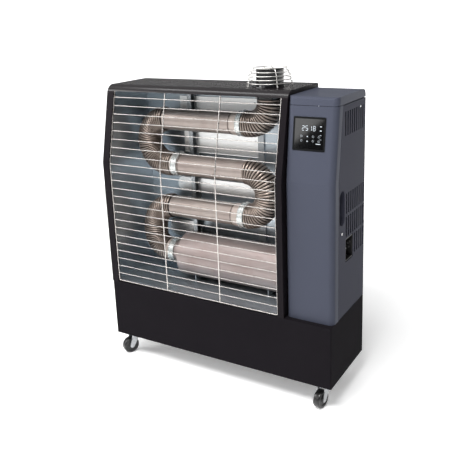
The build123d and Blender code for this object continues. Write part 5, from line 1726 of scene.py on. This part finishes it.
@dataclass
class HoseClamps:
    """The bright bands over the tube ends, with their sleeves, screws and the tubes' raised beads."""

    tube: float = 39.05
    sides: int = 72
    sleeve_wall: float = 1.7
    # How far a bevel goes in, and how far along.
    sleeve_bevel: Pair = (0.6, 0.8)
    lip: float = 1.2
    lip_start: float = 0.9
    lip_end: float = 2.3
    lip_foot: float = 3.8
    bead_rise: float = 0.9
    bead_width: float = 3.6
    bead_flat: float = 0.4
    bead_sink: float = 0.2
    trunnion: float = 3.2
    trunnion_half: float = 8.0
    trunnion_edge: float = 0.5
    trunnion_gap: float = 13.0
    trunnion_sides: int = 16
    bolt_head: float = 2.9
    bolt_head_height: float = 2.6
    bolt_head_sides: int = 6
    bolt: float = 1.5
    bolt_end: float = 3.0
    screw_lean: float = 38.0
    places: tuple[ClampPlace, ...] = (
        ClampPlace((40.6, 59.8), (19.7, 40.6), LAYOUT.upper_z),
        ClampPlace((37.0, 59.8), (14.0, 37.0), LAYOUT.lower_z, 43.6),
        ClampPlace((-236.0, -211.0), (-242.5, -236.0), LAYOUT.middle_z),
        ClampPlace((-270.0, -246.0), (-282.8, -270.0), LAYOUT.chamber_z, 42.8),
    )
    beads: tuple[Pair, ...] = (
        (13.0, LAYOUT.upper_z),
        (8.5, LAYOUT.lower_z),
        (-206.0, LAYOUT.middle_z),
    )

    def turn(self, name: str, profile: Sequence[Pair], level: float) -> bpy.types.Mesh:
        """Turns a profile in millimetres round the tubes' line at a level."""
        centre = (0.0, LAYOUT.tube_y * MM, level * MM)
        return lathe(name, in_metres(profile), centre, RIGHTWARD, self.sides)

    def band(self, place: ClampPlace) -> bpy.types.Mesh:
        """Makes one band with a rolled lip at each edge.

        Args:
            place: Where its clamp sits.

        Returns:
            The band's mesh.
        """
        start, end = place.band
        crown, lip = place.girth, place.girth + self.lip
        profile = (
            (self.tube, start),
            (crown, start),
            (lip, start + self.lip_start),
            (lip, start + self.lip_end),
            (crown, start + self.lip_foot),
            (crown, end - self.lip_foot),
            (lip, end - self.lip_end),
            (lip, end - self.lip_start),
            (crown, end),
            (self.tube, end),
        )
        return self.turn("clamp_band", profile, place.level)

    def sleeve(self, place: ClampPlace) -> bpy.types.Mesh:
        """Makes the plain sleeve beside a band.

        Args:
            place: Where its clamp sits.

        Returns:
            The sleeve's mesh.
        """
        start, end = place.sleeve
        outer = self.tube + self.sleeve_wall
        inward, along = self.sleeve_bevel
        profile = (
            (self.tube, start),
            (outer - inward, start),
            (outer, start + along),
            (outer, end),
            (self.tube, end),
        )
        return self.turn("clamp_sleeve", profile, place.level)

    def bead(self, along: float, level: float) -> bpy.types.Mesh:
        """Makes one raised bead on a tube.

        Args:
            along: Where it lies along the tube, in millimetres.
            level: The height of the tube's line, in millimetres.

        Returns:
            The bead's mesh.
        """
        half = self.bead_width / 2
        low, high = self.tube - self.bead_sink, self.tube + self.bead_rise
        profile = (
            (low, along - half),
            (high, along - half * self.bead_flat),
            (high, along + half * self.bead_flat),
            (low, along + half),
        )
        return self.turn("tube_bead", profile, level)

    def screws(self, place: ClampPlace) -> list[bpy.types.Mesh]:
        """Makes a clamp's two trunnions and the bolt between them, behind the tube.

        Args:
            place: Where the clamp sits.

        Returns:
            The meshes of the two trunnions and the bolt.
        """
        lean = math.radians(self.screw_lean)
        outward = Vector((0.0, math.sin(lean), math.cos(lean)))
        tangent = Vector((0.0, math.cos(lean), -math.sin(lean)))
        middle = sum(place.band) / 2
        reach = place.girth + self.trunnion
        seat = Vector((middle, LAYOUT.tube_y, place.level)) + outward * reach
        half, edge = self.trunnion_half, self.trunnion_edge
        barrel = [
            (0.0, -half),
            (self.trunnion - edge, -half),
            (self.trunnion, edge - half),
            (self.trunnion, half - edge),
            (self.trunnion - edge, half),
            (0.0, half),
        ]
        bolt_half = self.trunnion_gap / 2 + self.trunnion
        head_end = -bolt_half - self.bolt_head_height
        bolt = [
            (0.0, head_end),
            (self.bolt_head, head_end),
            (self.bolt_head, -bolt_half),
            (self.bolt, -bolt_half),
            (self.bolt, bolt_half + self.bolt_end),
            (0.0, bolt_half + self.bolt_end),
        ]
        made = []
        for side in (-1.0, 1.0):
            centre = (seat + tangent * (side * self.trunnion_gap / 2)) * MM
            made.append(
                lathe("clamp_trunnion", in_metres(barrel), tuple(centre), RIGHTWARD, self.trunnion_sides)
            )
        made.append(
            lathe("clamp_bolt", in_metres(bolt), tuple(seat * MM), tangent, self.bolt_head_sides)
        )
        return made

    def build(self) -> None:
        """Makes the bands, screws, sleeves and beads."""
        for name, meshes, finish in (
            ("clamp_bands", [self.band(place) for place in self.places], CLAMP_STEEL),
            (
                "clamp_screws",
                [screw for place in self.places for screw in self.screws(place)],
                STEEL_SCREW,
            ),
            ("clamp_sleeves", [self.sleeve(place) for place in self.places], SLEEVE_STEEL),
        ):
            add_piece(name, merged(name, meshes), (finish,), "cabinet", ("hose_clamps",))
        beads = merged("tube_beads", [self.bead(along, level) for along, level in self.beads])
        add_piece("tube_beads", beads, (WELD_BEAD,), "cabinet")


@dataclass
class ShieldTrim:
    """The channel post in front of the heat shields, and the screws and rivets on the shields."""

    post_left: float = -214.0
    post_right: float = -198.0
    post_front: float = 83.0
    post_back: float = 106.0
    sheet: float = 1.2
    foot: float = 312.5
    top: float = 1026.0
    shield_face: float = 106.2
    screw: float = 6.4
    screw_rise: float = 2.0
    rivet: float = 5.0
    rivet_rise: float = 1.4
    screws: tuple[Pair, ...] = ((54.0, 962.0), (-196.0, 826.0), (54.0, 826.0))
    rivets: tuple[Pair, ...] = ((46.0, 668.0), (-300.0, 446.0), (-330.0, 478.0))

    def build(self) -> None:
        """Makes the post and the fasteners."""
        wide = self.post_right - self.post_left
        deep = self.post_back - self.post_front
        sheet = self.sheet
        outline = (
            (0.0, 0.0),
            (wide, 0.0),
            (wide, sheet),
            (sheet, sheet),
            (sheet, deep - sheet),
            (wide, deep - sheet),
            (wide, deep),
            (0.0, deep),
        )
        post = extruded(
            "shield_post",
            in_metres(outline),
            (self.post_left * MM, self.post_front * MM, self.foot * MM),
            RIGHTWARD,
            BACKWARD,
            (self.top - self.foot) * MM,
        )
        add_piece("shield_post", post, (BRACKET_SHEET,), "cabinet")
        tree = screw_tree()
        self.heads("shield_screws", tree, self.screws, self.screw, self.screw_rise)
        self.heads("shield_rivets", tree, self.rivets, self.rivet, self.rivet_rise)

    def heads(
        self,
        name: str,
        tree: bpy.types.NodeTree,
        places: Sequence[Pair],
        diameter: float,
        rise: float,
    ) -> None:
        """Sets heads that face forwards on the shields.

        Args:
            name: The piece's name.
            tree: The tree that makes the heads.
            places: The x and z of each head, in millimetres.
            diameter: A head's diameter in millimetres.
            rise: How far a head stands out, in millimetres.
        """
        points = [(x * MM, self.shield_face * MM, z * MM) for x, z in places]
        values = {"Diameter": diameter * MM, "Rise": rise * MM, "Turn": (math.pi / 2, 0.0, 0.0)}
        mesh = grow(name, path_mesh(f"{name}_places", [points]), tree, values, STEEL_SCREW)
        smooth(mesh)
        add_piece(name, mesh, (), "cabinet")


@dataclass
class DisplayFace:
    """The lit digits and the printed keys behind the display's glass."""

    centre_x: float = 352.0
    centre_z: float = 911.0
    foot_y: float = -110.1
    foot_z: float = 865.9
    lean: float = 8.24
    proud: float = 0.1
    sheet: float = 0.06
    digit_height: float = 14.0
    digit_width: float = 6.4
    bar: float = 1.2
    bar_gap: float = 0.35
    digits_left: float = -23.0
    digits_level: float = 17.5
    digit_step: float = 11.6
    pair_gap: float = 1.2
    shown: str = "2518"
    segments: dict[str, str] = field(
        default_factory=lambda: {"1": "bc", "2": "abged", "5": "afgcd", "8": "abcdefg"}
    )
    # Small bars: across, up, wide and high.
    lit_bars: tuple[tuple[float, float, float, float], ...] = (
        (37.5, 24.0, 6.0, 2.2),
        (37.5, 11.6, 6.0, 2.2),
        (31.0, -28.5, 15.0, 1.6),
    )
    key_bars: tuple[tuple[float, float, float, float], ...] = (
        (37.5, -2.0, 5.0, 1.6),
        (37.5, -15.0, 5.0, 1.6),
    )
    # The two arrows point up and down, one over the other.
    arrow_across: float = -5.0
    arrow_levels: tuple[Pair, ...] = ((-7.0, 1.0), (-22.0, -1.0))
    arrow_half: float = 3.0
    arrow_foot: float = 1.6
    arrow_tip: float = 1.8
    # A key's mark is a ring of dots, open at its top, with a stroke in the opening.
    mark_columns: tuple[float, ...] = (-24.0, 13.7, 32.6)
    mark_rows: tuple[float, ...] = (-7.0, -20.5)
    mark_radius: float = 2.9
    mark_dots: int = 10
    mark_start: float = 125.0
    mark_turn: float = 29.0
    mark_dot: float = 1.1
    stroke_rise: float = 2.2
    stroke: Pair = (0.9, 3.2)

    def spot(self, across: float, up: float) -> Point:
        """Finds a point just over the glass.

        Args:
            across: How far it lies to the right of the display's middle, in millimetres.
            up: How far it lies above the middle, along the glass.

        Returns:
            The point, in metres.
        """
        lean = math.radians(self.lean)
        level = self.centre_z + up * math.cos(lean)
        depth = self.foot_y + (level - self.foot_z) * math.tan(lean)
        return (
            (self.centre_x + across) * MM,
            (depth - self.proud * math.cos(lean)) * MM,
            (level + self.proud * math.sin(lean)) * MM,
        )

    def patch(self, corners: Sequence[Pair], across: float, up: float) -> bpy.types.Mesh:
        """Makes a thin flat shape on the glass.

        Args:
            corners: Its corners, in millimetres from its own middle.
            across: How far its middle lies to the right of the display's.
            up: How far its middle lies above the display's.

        Returns:
            The shape's mesh.
        """
        lean = math.radians(self.lean)
        along_glass = Vector((0.0, math.sin(lean), math.cos(lean)))
        start = self.spot(across, up)
        return extruded(
            "display_patch", in_metres(corners), start, RIGHTWARD, along_glass, self.sheet * MM
        )

    def segment(self, key: str, across: float, up: float) -> bpy.types.Mesh:
        """Makes one segment of a digit.

        Args:
            key: The segment's letter, from a to g.
            across: How far the digit's middle lies to the right of the display's, in millimetres.
            up: How far it lies above the display's.

        Returns:
            The segment's mesh.
        """
        half = self.digit_height / 2
        wide = self.digit_width / 2
        level = {"a": (0.0, half), "g": (0.0, 0.0), "d": (0.0, -half)}
        upright = {
            "b": (wide, half / 2),
            "c": (wide, -half / 2),
            "e": (-wide, -half / 2),
            "f": (-wide, half / 2),
        }
        if key in level:
            x, y = level[key]
            corners = self.pointed(wide - self.bar_gap)
        else:
            x, y = upright[key]
            corners = [(-b, a) for a, b in self.pointed(half / 2 - self.bar_gap)]
        return self.patch(corners, across + x, up + y)

    def pointed(self, long: float) -> list[Pair]:
        """Draws a level segment that is pointed at both ends.

        Args:
            long: Half its length, in millimetres.

        Returns:
            The outline's corners.
        """
        point = self.bar / 2
        return [
            (-long, 0.0),
            (point - long, -point),
            (long - point, -point),
            (long, 0.0),
            (long - point, point),
            (point - long, point),
        ]

    def block(self, across: float, up: float, wide: float, high: float) -> bpy.types.Mesh:
        """Makes a small level bar on the glass."""
        x, y = wide / 2, high / 2
        return self.patch([(-x, -y), (x, -y), (x, y), (-x, y)], across, up)

    def lit(self) -> list[bpy.types.Mesh]:
        """Makes the digits and the small lit marks.

        Returns:
            Their meshes.
        """
        made = []
        for place, digit in enumerate(self.shown):
            across = self.digits_left + self.digit_width / 2 + place * self.digit_step
            across += self.pair_gap * (place // 2)
            made += [self.segment(key, across, self.digits_level) for key in self.segments[digit]]
        made += [self.block(*bar) for bar in self.lit_bars]
        for up, sign in self.arrow_levels:
            foot, tip = -self.arrow_foot * sign, self.arrow_tip * sign
            arrow = [(-self.arrow_half, foot), (0.0, tip), (self.arrow_half, foot)]
            made.append(self.patch(arrow, self.arrow_across, up))
        return made

    def keys(self) -> list[bpy.types.Mesh]:
        """Makes the dimmer printed keys: small ring-shaped marks and bars.

        Returns:
            Their meshes.
        """
        made = [self.block(*bar) for bar in self.key_bars]
        for across in self.mark_columns:
            for up in self.mark_rows:
                made += self.mark(across, up)
        return made

    def mark(self, across: float, up: float) -> list[bpy.types.Mesh]:
        """Makes one key's mark: a broken ring with a stroke at its top.

        Args:
            across: How far it lies to the right of the display's middle, in millimetres.
            up: How far it lies above the middle.

        Returns:
            The meshes of its dots and stroke.
        """
        made = []
        for place in range(self.mark_dots):
            angle = math.radians(self.mark_start + place * self.mark_turn)
            x, y = self.mark_radius * math.cos(angle), self.mark_radius * math.sin(angle)
            made.append(self.block(across + x, up + y, self.mark_dot, self.mark_dot))
        made.append(self.block(across, up + self.stroke_rise, *self.stroke))
        return made

    def build(self) -> None:
        """Makes the lit marks and the printed keys."""
        for name, meshes, finish in (
            ("display_lit_marks", self.lit(), LIT_SEGMENT),
            ("display_keys", self.keys(), KEY_PRINT),
        ):
            add_piece(name, merged(name, meshes), (finish,), "cabinet")


@dataclass
class DoorFittings:
    """The lock's bright ring and the pins inside the power inlet."""

    lock_y: float = -57.0
    lock_z: float = 591.0
    ring_outer: float = 8.4
    ring_inner: float = 5.75
    ring_sides: int = 40
    outer_bevel: Pair = (0.4, 0.25)
    inner_bevel: float = 0.3
    face: float = 440.7
    seat: float = 439.95
    pin_y: float = 8.5
    pin_z: float = 524.5
    pin_spread: float = 5.5
    pin_lift: float = 3.5
    pin_start: float = 414.0
    pin_end: float = 429.0
    pin: float = 1.7
    pin_point: float = 1.0
    pin_sides: int = 16

    def build(self) -> None:
        """Makes the ring on the door and the inlet's three pins."""
        inward, down = self.outer_bevel
        ring = (
            (self.ring_inner, self.seat),
            (self.ring_outer, self.seat),
            (self.ring_outer, self.face - down),
            (self.ring_outer - inward, self.face),
            (self.ring_inner + self.inner_bevel, self.face),
            (self.ring_inner, self.face - self.inner_bevel),
        )
        lock = (0.0, self.lock_y * MM, self.lock_z * MM)
        mesh = lathe("lock_ring", in_metres(ring), lock, RIGHTWARD, self.ring_sides)
        add_piece("lock_ring", mesh, (BRIGHT_CHROME,), "door")
        pin = (
            (0.0, self.pin_start),
            (self.pin, self.pin_start),
            (self.pin, self.pin_end - self.pin_point),
            (self.pin / 2, self.pin_end),
            (0.0, self.pin_end),
        )
        places = (
            (self.pin_y - self.pin_spread, self.pin_z + self.pin_lift),
            (self.pin_y + self.pin_spread, self.pin_z + self.pin_lift),
            (self.pin_y, self.pin_z - self.pin_lift),
        )
        pins = [
            lathe("inlet_pin", in_metres(pin), (0.0, y, z), RIGHTWARD, self.pin_sides)
            for y, z in in_metres(places)
        ]
        add_piece("inlet_pins", merged("inlet_pins", pins), (STEEL_SCREW,), "cabinet")


@dataclass(frozen=True)
class Slab:
    """An upright board with softened edges, in millimetres."""

    left: float
    right: float
    front: float
    back: float
    foot: float
    top: float
    edge: float = 1.2

    def mesh(self, name: str) -> bpy.types.Mesh:
        """Makes the board's mesh.

        Args:
            name: The mesh's name.

        Returns:
            The mesh.
        """
        wide, high, edge = self.right - self.left, self.top - self.foot, self.edge
        outline = [
            (edge, 0.0),
            (wide - edge, 0.0),
            (wide, edge),
            (wide, high - edge),
            (wide - edge, high),
            (edge, high),
            (0.0, high - edge),
            (0.0, edge),
        ]
        return extruded(
            name,
            in_metres(outline),
            (self.left * MM, self.back * MM, self.foot * MM),
            RIGHTWARD,
            UPWARD,
            (self.back - self.front) * MM,
        )


@dataclass
class SlotShadeSheets:
    """Black sheets behind the column's back louvres and behind the door's slots: painted shade that keeps
    the slots dark.
    """

    back_shade_sheet: Slab = Slab(285.0, 420.4, 137.0, 141.0, 335.0, 975.0)
    door_shade_sheet: Slab = Slab(434.3, 438.4, 80.0, 121.0, 475.0, 965.0)

    def build(self) -> None:
        """Makes both sheets of painted shade."""
        back_shade_sheet = self.back_shade_sheet.mesh("column_slot_shade_sheet")
        add_piece("column_slot_shade_sheet", back_shade_sheet, (SLOT_SHADE_SHEET,), "cabinet")
        door_shade_sheet = self.door_shade_sheet.mesh("door_slot_shade_sheet")
        add_piece("door_slot_shade_sheet", door_shade_sheet, (SLOT_SHADE_SHEET,), "door")


@dataclass
class CasterWheels:
    """The four wheels: a hard tyre moulded on a dished hub, turning on a riveted axle."""

    trail: float = 26.0
    axle_z: float = 31.0
    radius: float = 31.0
    tyre_depth: float = 7.0
    half_width: float = 12.5
    # Half of the tyre's section: how far below the tread, and how far in from the wheel's side.
    tyre_side: tuple[Pair, ...] = ((7.0, 1.0), (4.0, 0.4), (1.6, 1.6), (0.4, 3.6), (0.0, 6.5))
    tyre_sides: int = 72
    hub_dish: float = 3.2
    hub_boss: float = 9.0
    boss_face: float = 0.2
    boss_edge: float = 1.0
    boss_slope: float = 1.2
    rim_face: float = 0.8
    rim_width: float = 2.0
    rim_slope: float = 1.5
    hub_sides: int = 48
    bore: float = 4.05
    # Where each caster swivels, and the way that it points in degrees.
    places: dict[str, tuple[float, float, float]] = field(
        default_factory=lambda: {
            "front_left": (-396.0, -87.0, 245.0),
            "front_right": (396.0, -87.0, 260.0),
            "rear_left": (-345.0, 87.0, 50.0),
            "rear_right": (345.0, 87.0, 130.0),
        }
    )

    def mirrored(self, side: Sequence[Pair]) -> list[Pair]:
        """A whole section from half of one, whose points are a radius and a depth from the side."""
        near = [(radius, depth - self.half_width) for radius, depth in side]
        return near + [(radius, -along) for radius, along in reversed(near)]

    def tyre(self) -> list[Pair]:
        """The tyre's section as radius and distance along the axle, in millimetres."""
        return self.mirrored([(self.radius - below, depth) for below, depth in self.tyre_side])

    def hub(self) -> list[Pair]:
        """Draws the hub's section.

        Returns:
            Each point's radius and distance along the axle, in millimetres.
        """
        rim, boss = self.radius - self.tyre_depth, self.hub_boss
        side = (
            (self.bore, self.boss_face),
            (boss - self.boss_edge, self.boss_face),
            (boss, self.boss_edge),
            (boss + self.boss_slope, self.hub_dish),
            (rim - self.rim_width - self.rim_slope, self.hub_dish),
            (rim - self.rim_width, self.rim_face),
            (rim, self.rim_face),
        )
        return self.mirrored(side)

    def build(self) -> None:
        """Makes each wheel's tyre and hub on its own axle."""
        for place, (x, y, heading) in self.places.items():
            angle = math.radians(heading)
            centre = (
                (x + self.trail * math.cos(angle)) * MM,
                (y + self.trail * math.sin(angle)) * MM,
                self.axle_z * MM,
            )
            axle = Vector((-math.sin(angle), math.cos(angle), 0.0))
            for part, profile, finish, steps in (
                ("tyre", self.tyre(), TYRE_RUBBER, self.tyre_sides),
                ("hub", self.hub(), HUB_PLASTIC, self.hub_sides),
            ):
                name = f"caster_{part}_{place}"
                mesh = lathe(name, in_metres(profile), centre, axle, steps)
                node = f"caster_wheel_{place}"
                add_piece(name, mesh, (finish,), f"wheel_{place}", (node,))


@dataclass(frozen=True)
class Lamp:
    """A rectangular soft lamp, in metres, watts and degrees."""

    name: str
    place: Point
    target: Point
    size: Pair
    power: float
    roll: float = 0.0

    def hang(self) -> None:
        """Hangs the lamp so that it faces its target."""
        light = bpy.data.lights.new(self.name, "AREA")
        light.shape = "RECTANGLE"
        light.size, light.size_y = self.size
        light.energy = self.power
        lamp = bpy.data.objects.new(self.name, light)
        bpy.context.scene.collection.objects.link(lamp)
        lamp.location = self.place
        aim = (Vector(self.target) - Vector(self.place)).to_track_quat("-Z", "Y")
        lamp.rotation_euler = (aim @ Quaternion(UPWARD, math.radians(self.roll))).to_euler()


@dataclass
class Studio:
    """The plain floor, the soft light and the camera."""

    focal_pixels: float = 663.4274
    centre_x: float = 230.655
    centre_y: float = 177.677
    azimuth: float = 31.1953
    elevation: float = 14.5785
    roll: float = -2.1779
    place: Point = (1160.5, -1901.8, 1294.3)
    sensor: float = 36.0
    floor: float = 40.0
    near_back: float = 1.8
    wall_back: float = 14.0
    wall_height: float = 1.85
    sky_start: float = 0.1
    sky_low: float = 0.1
    sky_high: float = 0.6
    lamps: tuple[Lamp, ...] = (
        Lamp("top_lamp", (-0.5, -0.9, 3.0), (0.0, 0.1, 0.6), (3.0, 0.4), 32.0),
        Lamp("key_lamp", (-3.3, -2.0, 2.2), (0.0, 0.0, 0.6), (1.7, 2.2), 95.0),
        Lamp("front_lamp", (0.3, -2.5, 3.9), (0.1, 0.0, 0.8), (2.2, 1.1), 165.0),
        Lamp("glass_lamp", (-1.66, -3.62, 1.58), (0.352, -0.104, 0.911), (1.1, 1.1), 12.0, 45.0),
    )

    def build(self) -> None:
        """Makes the floor, the light and the camera."""
        self.make_floor()
        self.make_light()
        self.make_camera()

    def make_floor(self) -> None:
        """Lays a plain white floor that runs on behind the heater to a white wall."""
        near, back, high = self.near_back, self.wall_back, self.wall_height
        self.screen("studio_floor", (-self.floor / 2, 0.0), (near, 0.0), STUDIO_FLOOR)
        self.screen("studio_far_floor", (near, 0.0), (back, 0.0), STUDIO_WALL)
        self.screen("studio_wall", (back, 0.0), (back, high), STUDIO_WALL)

    def screen(self, name: str, start: Pair, end: Pair, finish: Finish) -> None:
        """Adds one flat sheet of the studio, as wide as the floor.

        Args:
            name: The sheet's name.
            start: The y and z of its near edge, in metres.
            end: The y and z of its far edge.
            finish: Its finish.
        """
        half = self.floor / 2
        corners = ((-half, *start), (half, *start), (half, *end), (-half, *end))
        mesh = bpy.data.meshes.new(name)
        mesh.from_pydata(corners, [], [(0, 1, 2, 3)])
        mesh.materials.append(finish.material())
        sheet = bpy.data.objects.new(name, mesh)
        bpy.context.scene.collection.objects.link(sheet)

    def make_light(self) -> None:
        """Sets a grey sky that is dim at the horizon, and soft lamps above and at the front left."""
        world = bpy.data.worlds.new("studio_sky")
        world.use_nodes = True
        bpy.context.scene.world = world
        tree = world.node_tree
        toward = add_node(tree, "ShaderNodeTexCoord").outputs["Generated"]
        height = add_node(tree, "ShaderNodeSeparateXYZ", inputs={"Vector": toward}).outputs["Z"]
        strength = add_node(
            tree,
            "ShaderNodeMapRange",
            inputs={
                "Value": height,
                "From Min": self.sky_start,
                "To Min": self.sky_low,
                "To Max": self.sky_high,
            },
        )
        sky = tree.nodes["Background"]
        sky.inputs["Color"].default_value = (1.0, 1.0, 1.0, 1.0)
        tree.links.new(strength.outputs["Result"], sky.inputs["Strength"])
        for lamp in self.lamps:
            lamp.hang()
        bpy.context.scene.view_settings.view_transform = "Standard"

    def make_camera(self) -> None:
        """Sets the camera that the photograph was solved for."""
        camera_data = bpy.data.cameras.new("photo_camera")
        camera_data.sensor_width = self.sensor
        camera_data.lens = self.focal_pixels * self.sensor / PHOTO_PIXELS
        camera_data.shift_x = (PHOTO_PIXELS / 2 - self.centre_x) / PHOTO_PIXELS
        camera_data.shift_y = (self.centre_y - PHOTO_PIXELS / 2) / PHOTO_PIXELS
        camera = bpy.data.objects.new("photo_camera", camera_data)
        bpy.context.scene.collection.objects.link(camera)
        azimuth, elevation = math.radians(self.azimuth), math.radians(self.elevation)
        back = Vector(
            (
                math.sin(azimuth) * math.cos(elevation),
                -math.cos(azimuth) * math.cos(elevation),
                math.sin(elevation),
            )
        )
        level = (-back).cross(UPWARD).normalized()
        upward = level.cross(-back)
        cos, sin = math.cos(math.radians(self.roll)), math.sin(math.radians(self.roll))
        right = level * cos + upward * sin
        top = upward * cos - level * sin
        turn = Matrix((right, top, back)).transposed().to_4x4()
        camera.matrix_world = Matrix.Translation(Vector(self.place) * MM) @ turn
        bpy.context.scene.camera = camera


def main() -> None:
    """Builds every piece in order."""
    logging.basicConfig(level=logging.INFO, format="%(name)s %(message)s")
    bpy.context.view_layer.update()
    Studio().build()
    Cabinet().dress()
    RibbedBends().build()
    WireGuard().build()
    FlueGuard().build()
    HoseClamps().build()
    ShieldTrim().build()
    DisplayFace().build()
    DoorFittings().build()
    SlotShadeSheets().build()
    CasterWheels().build()


if __name__ == "__main__":
    main()
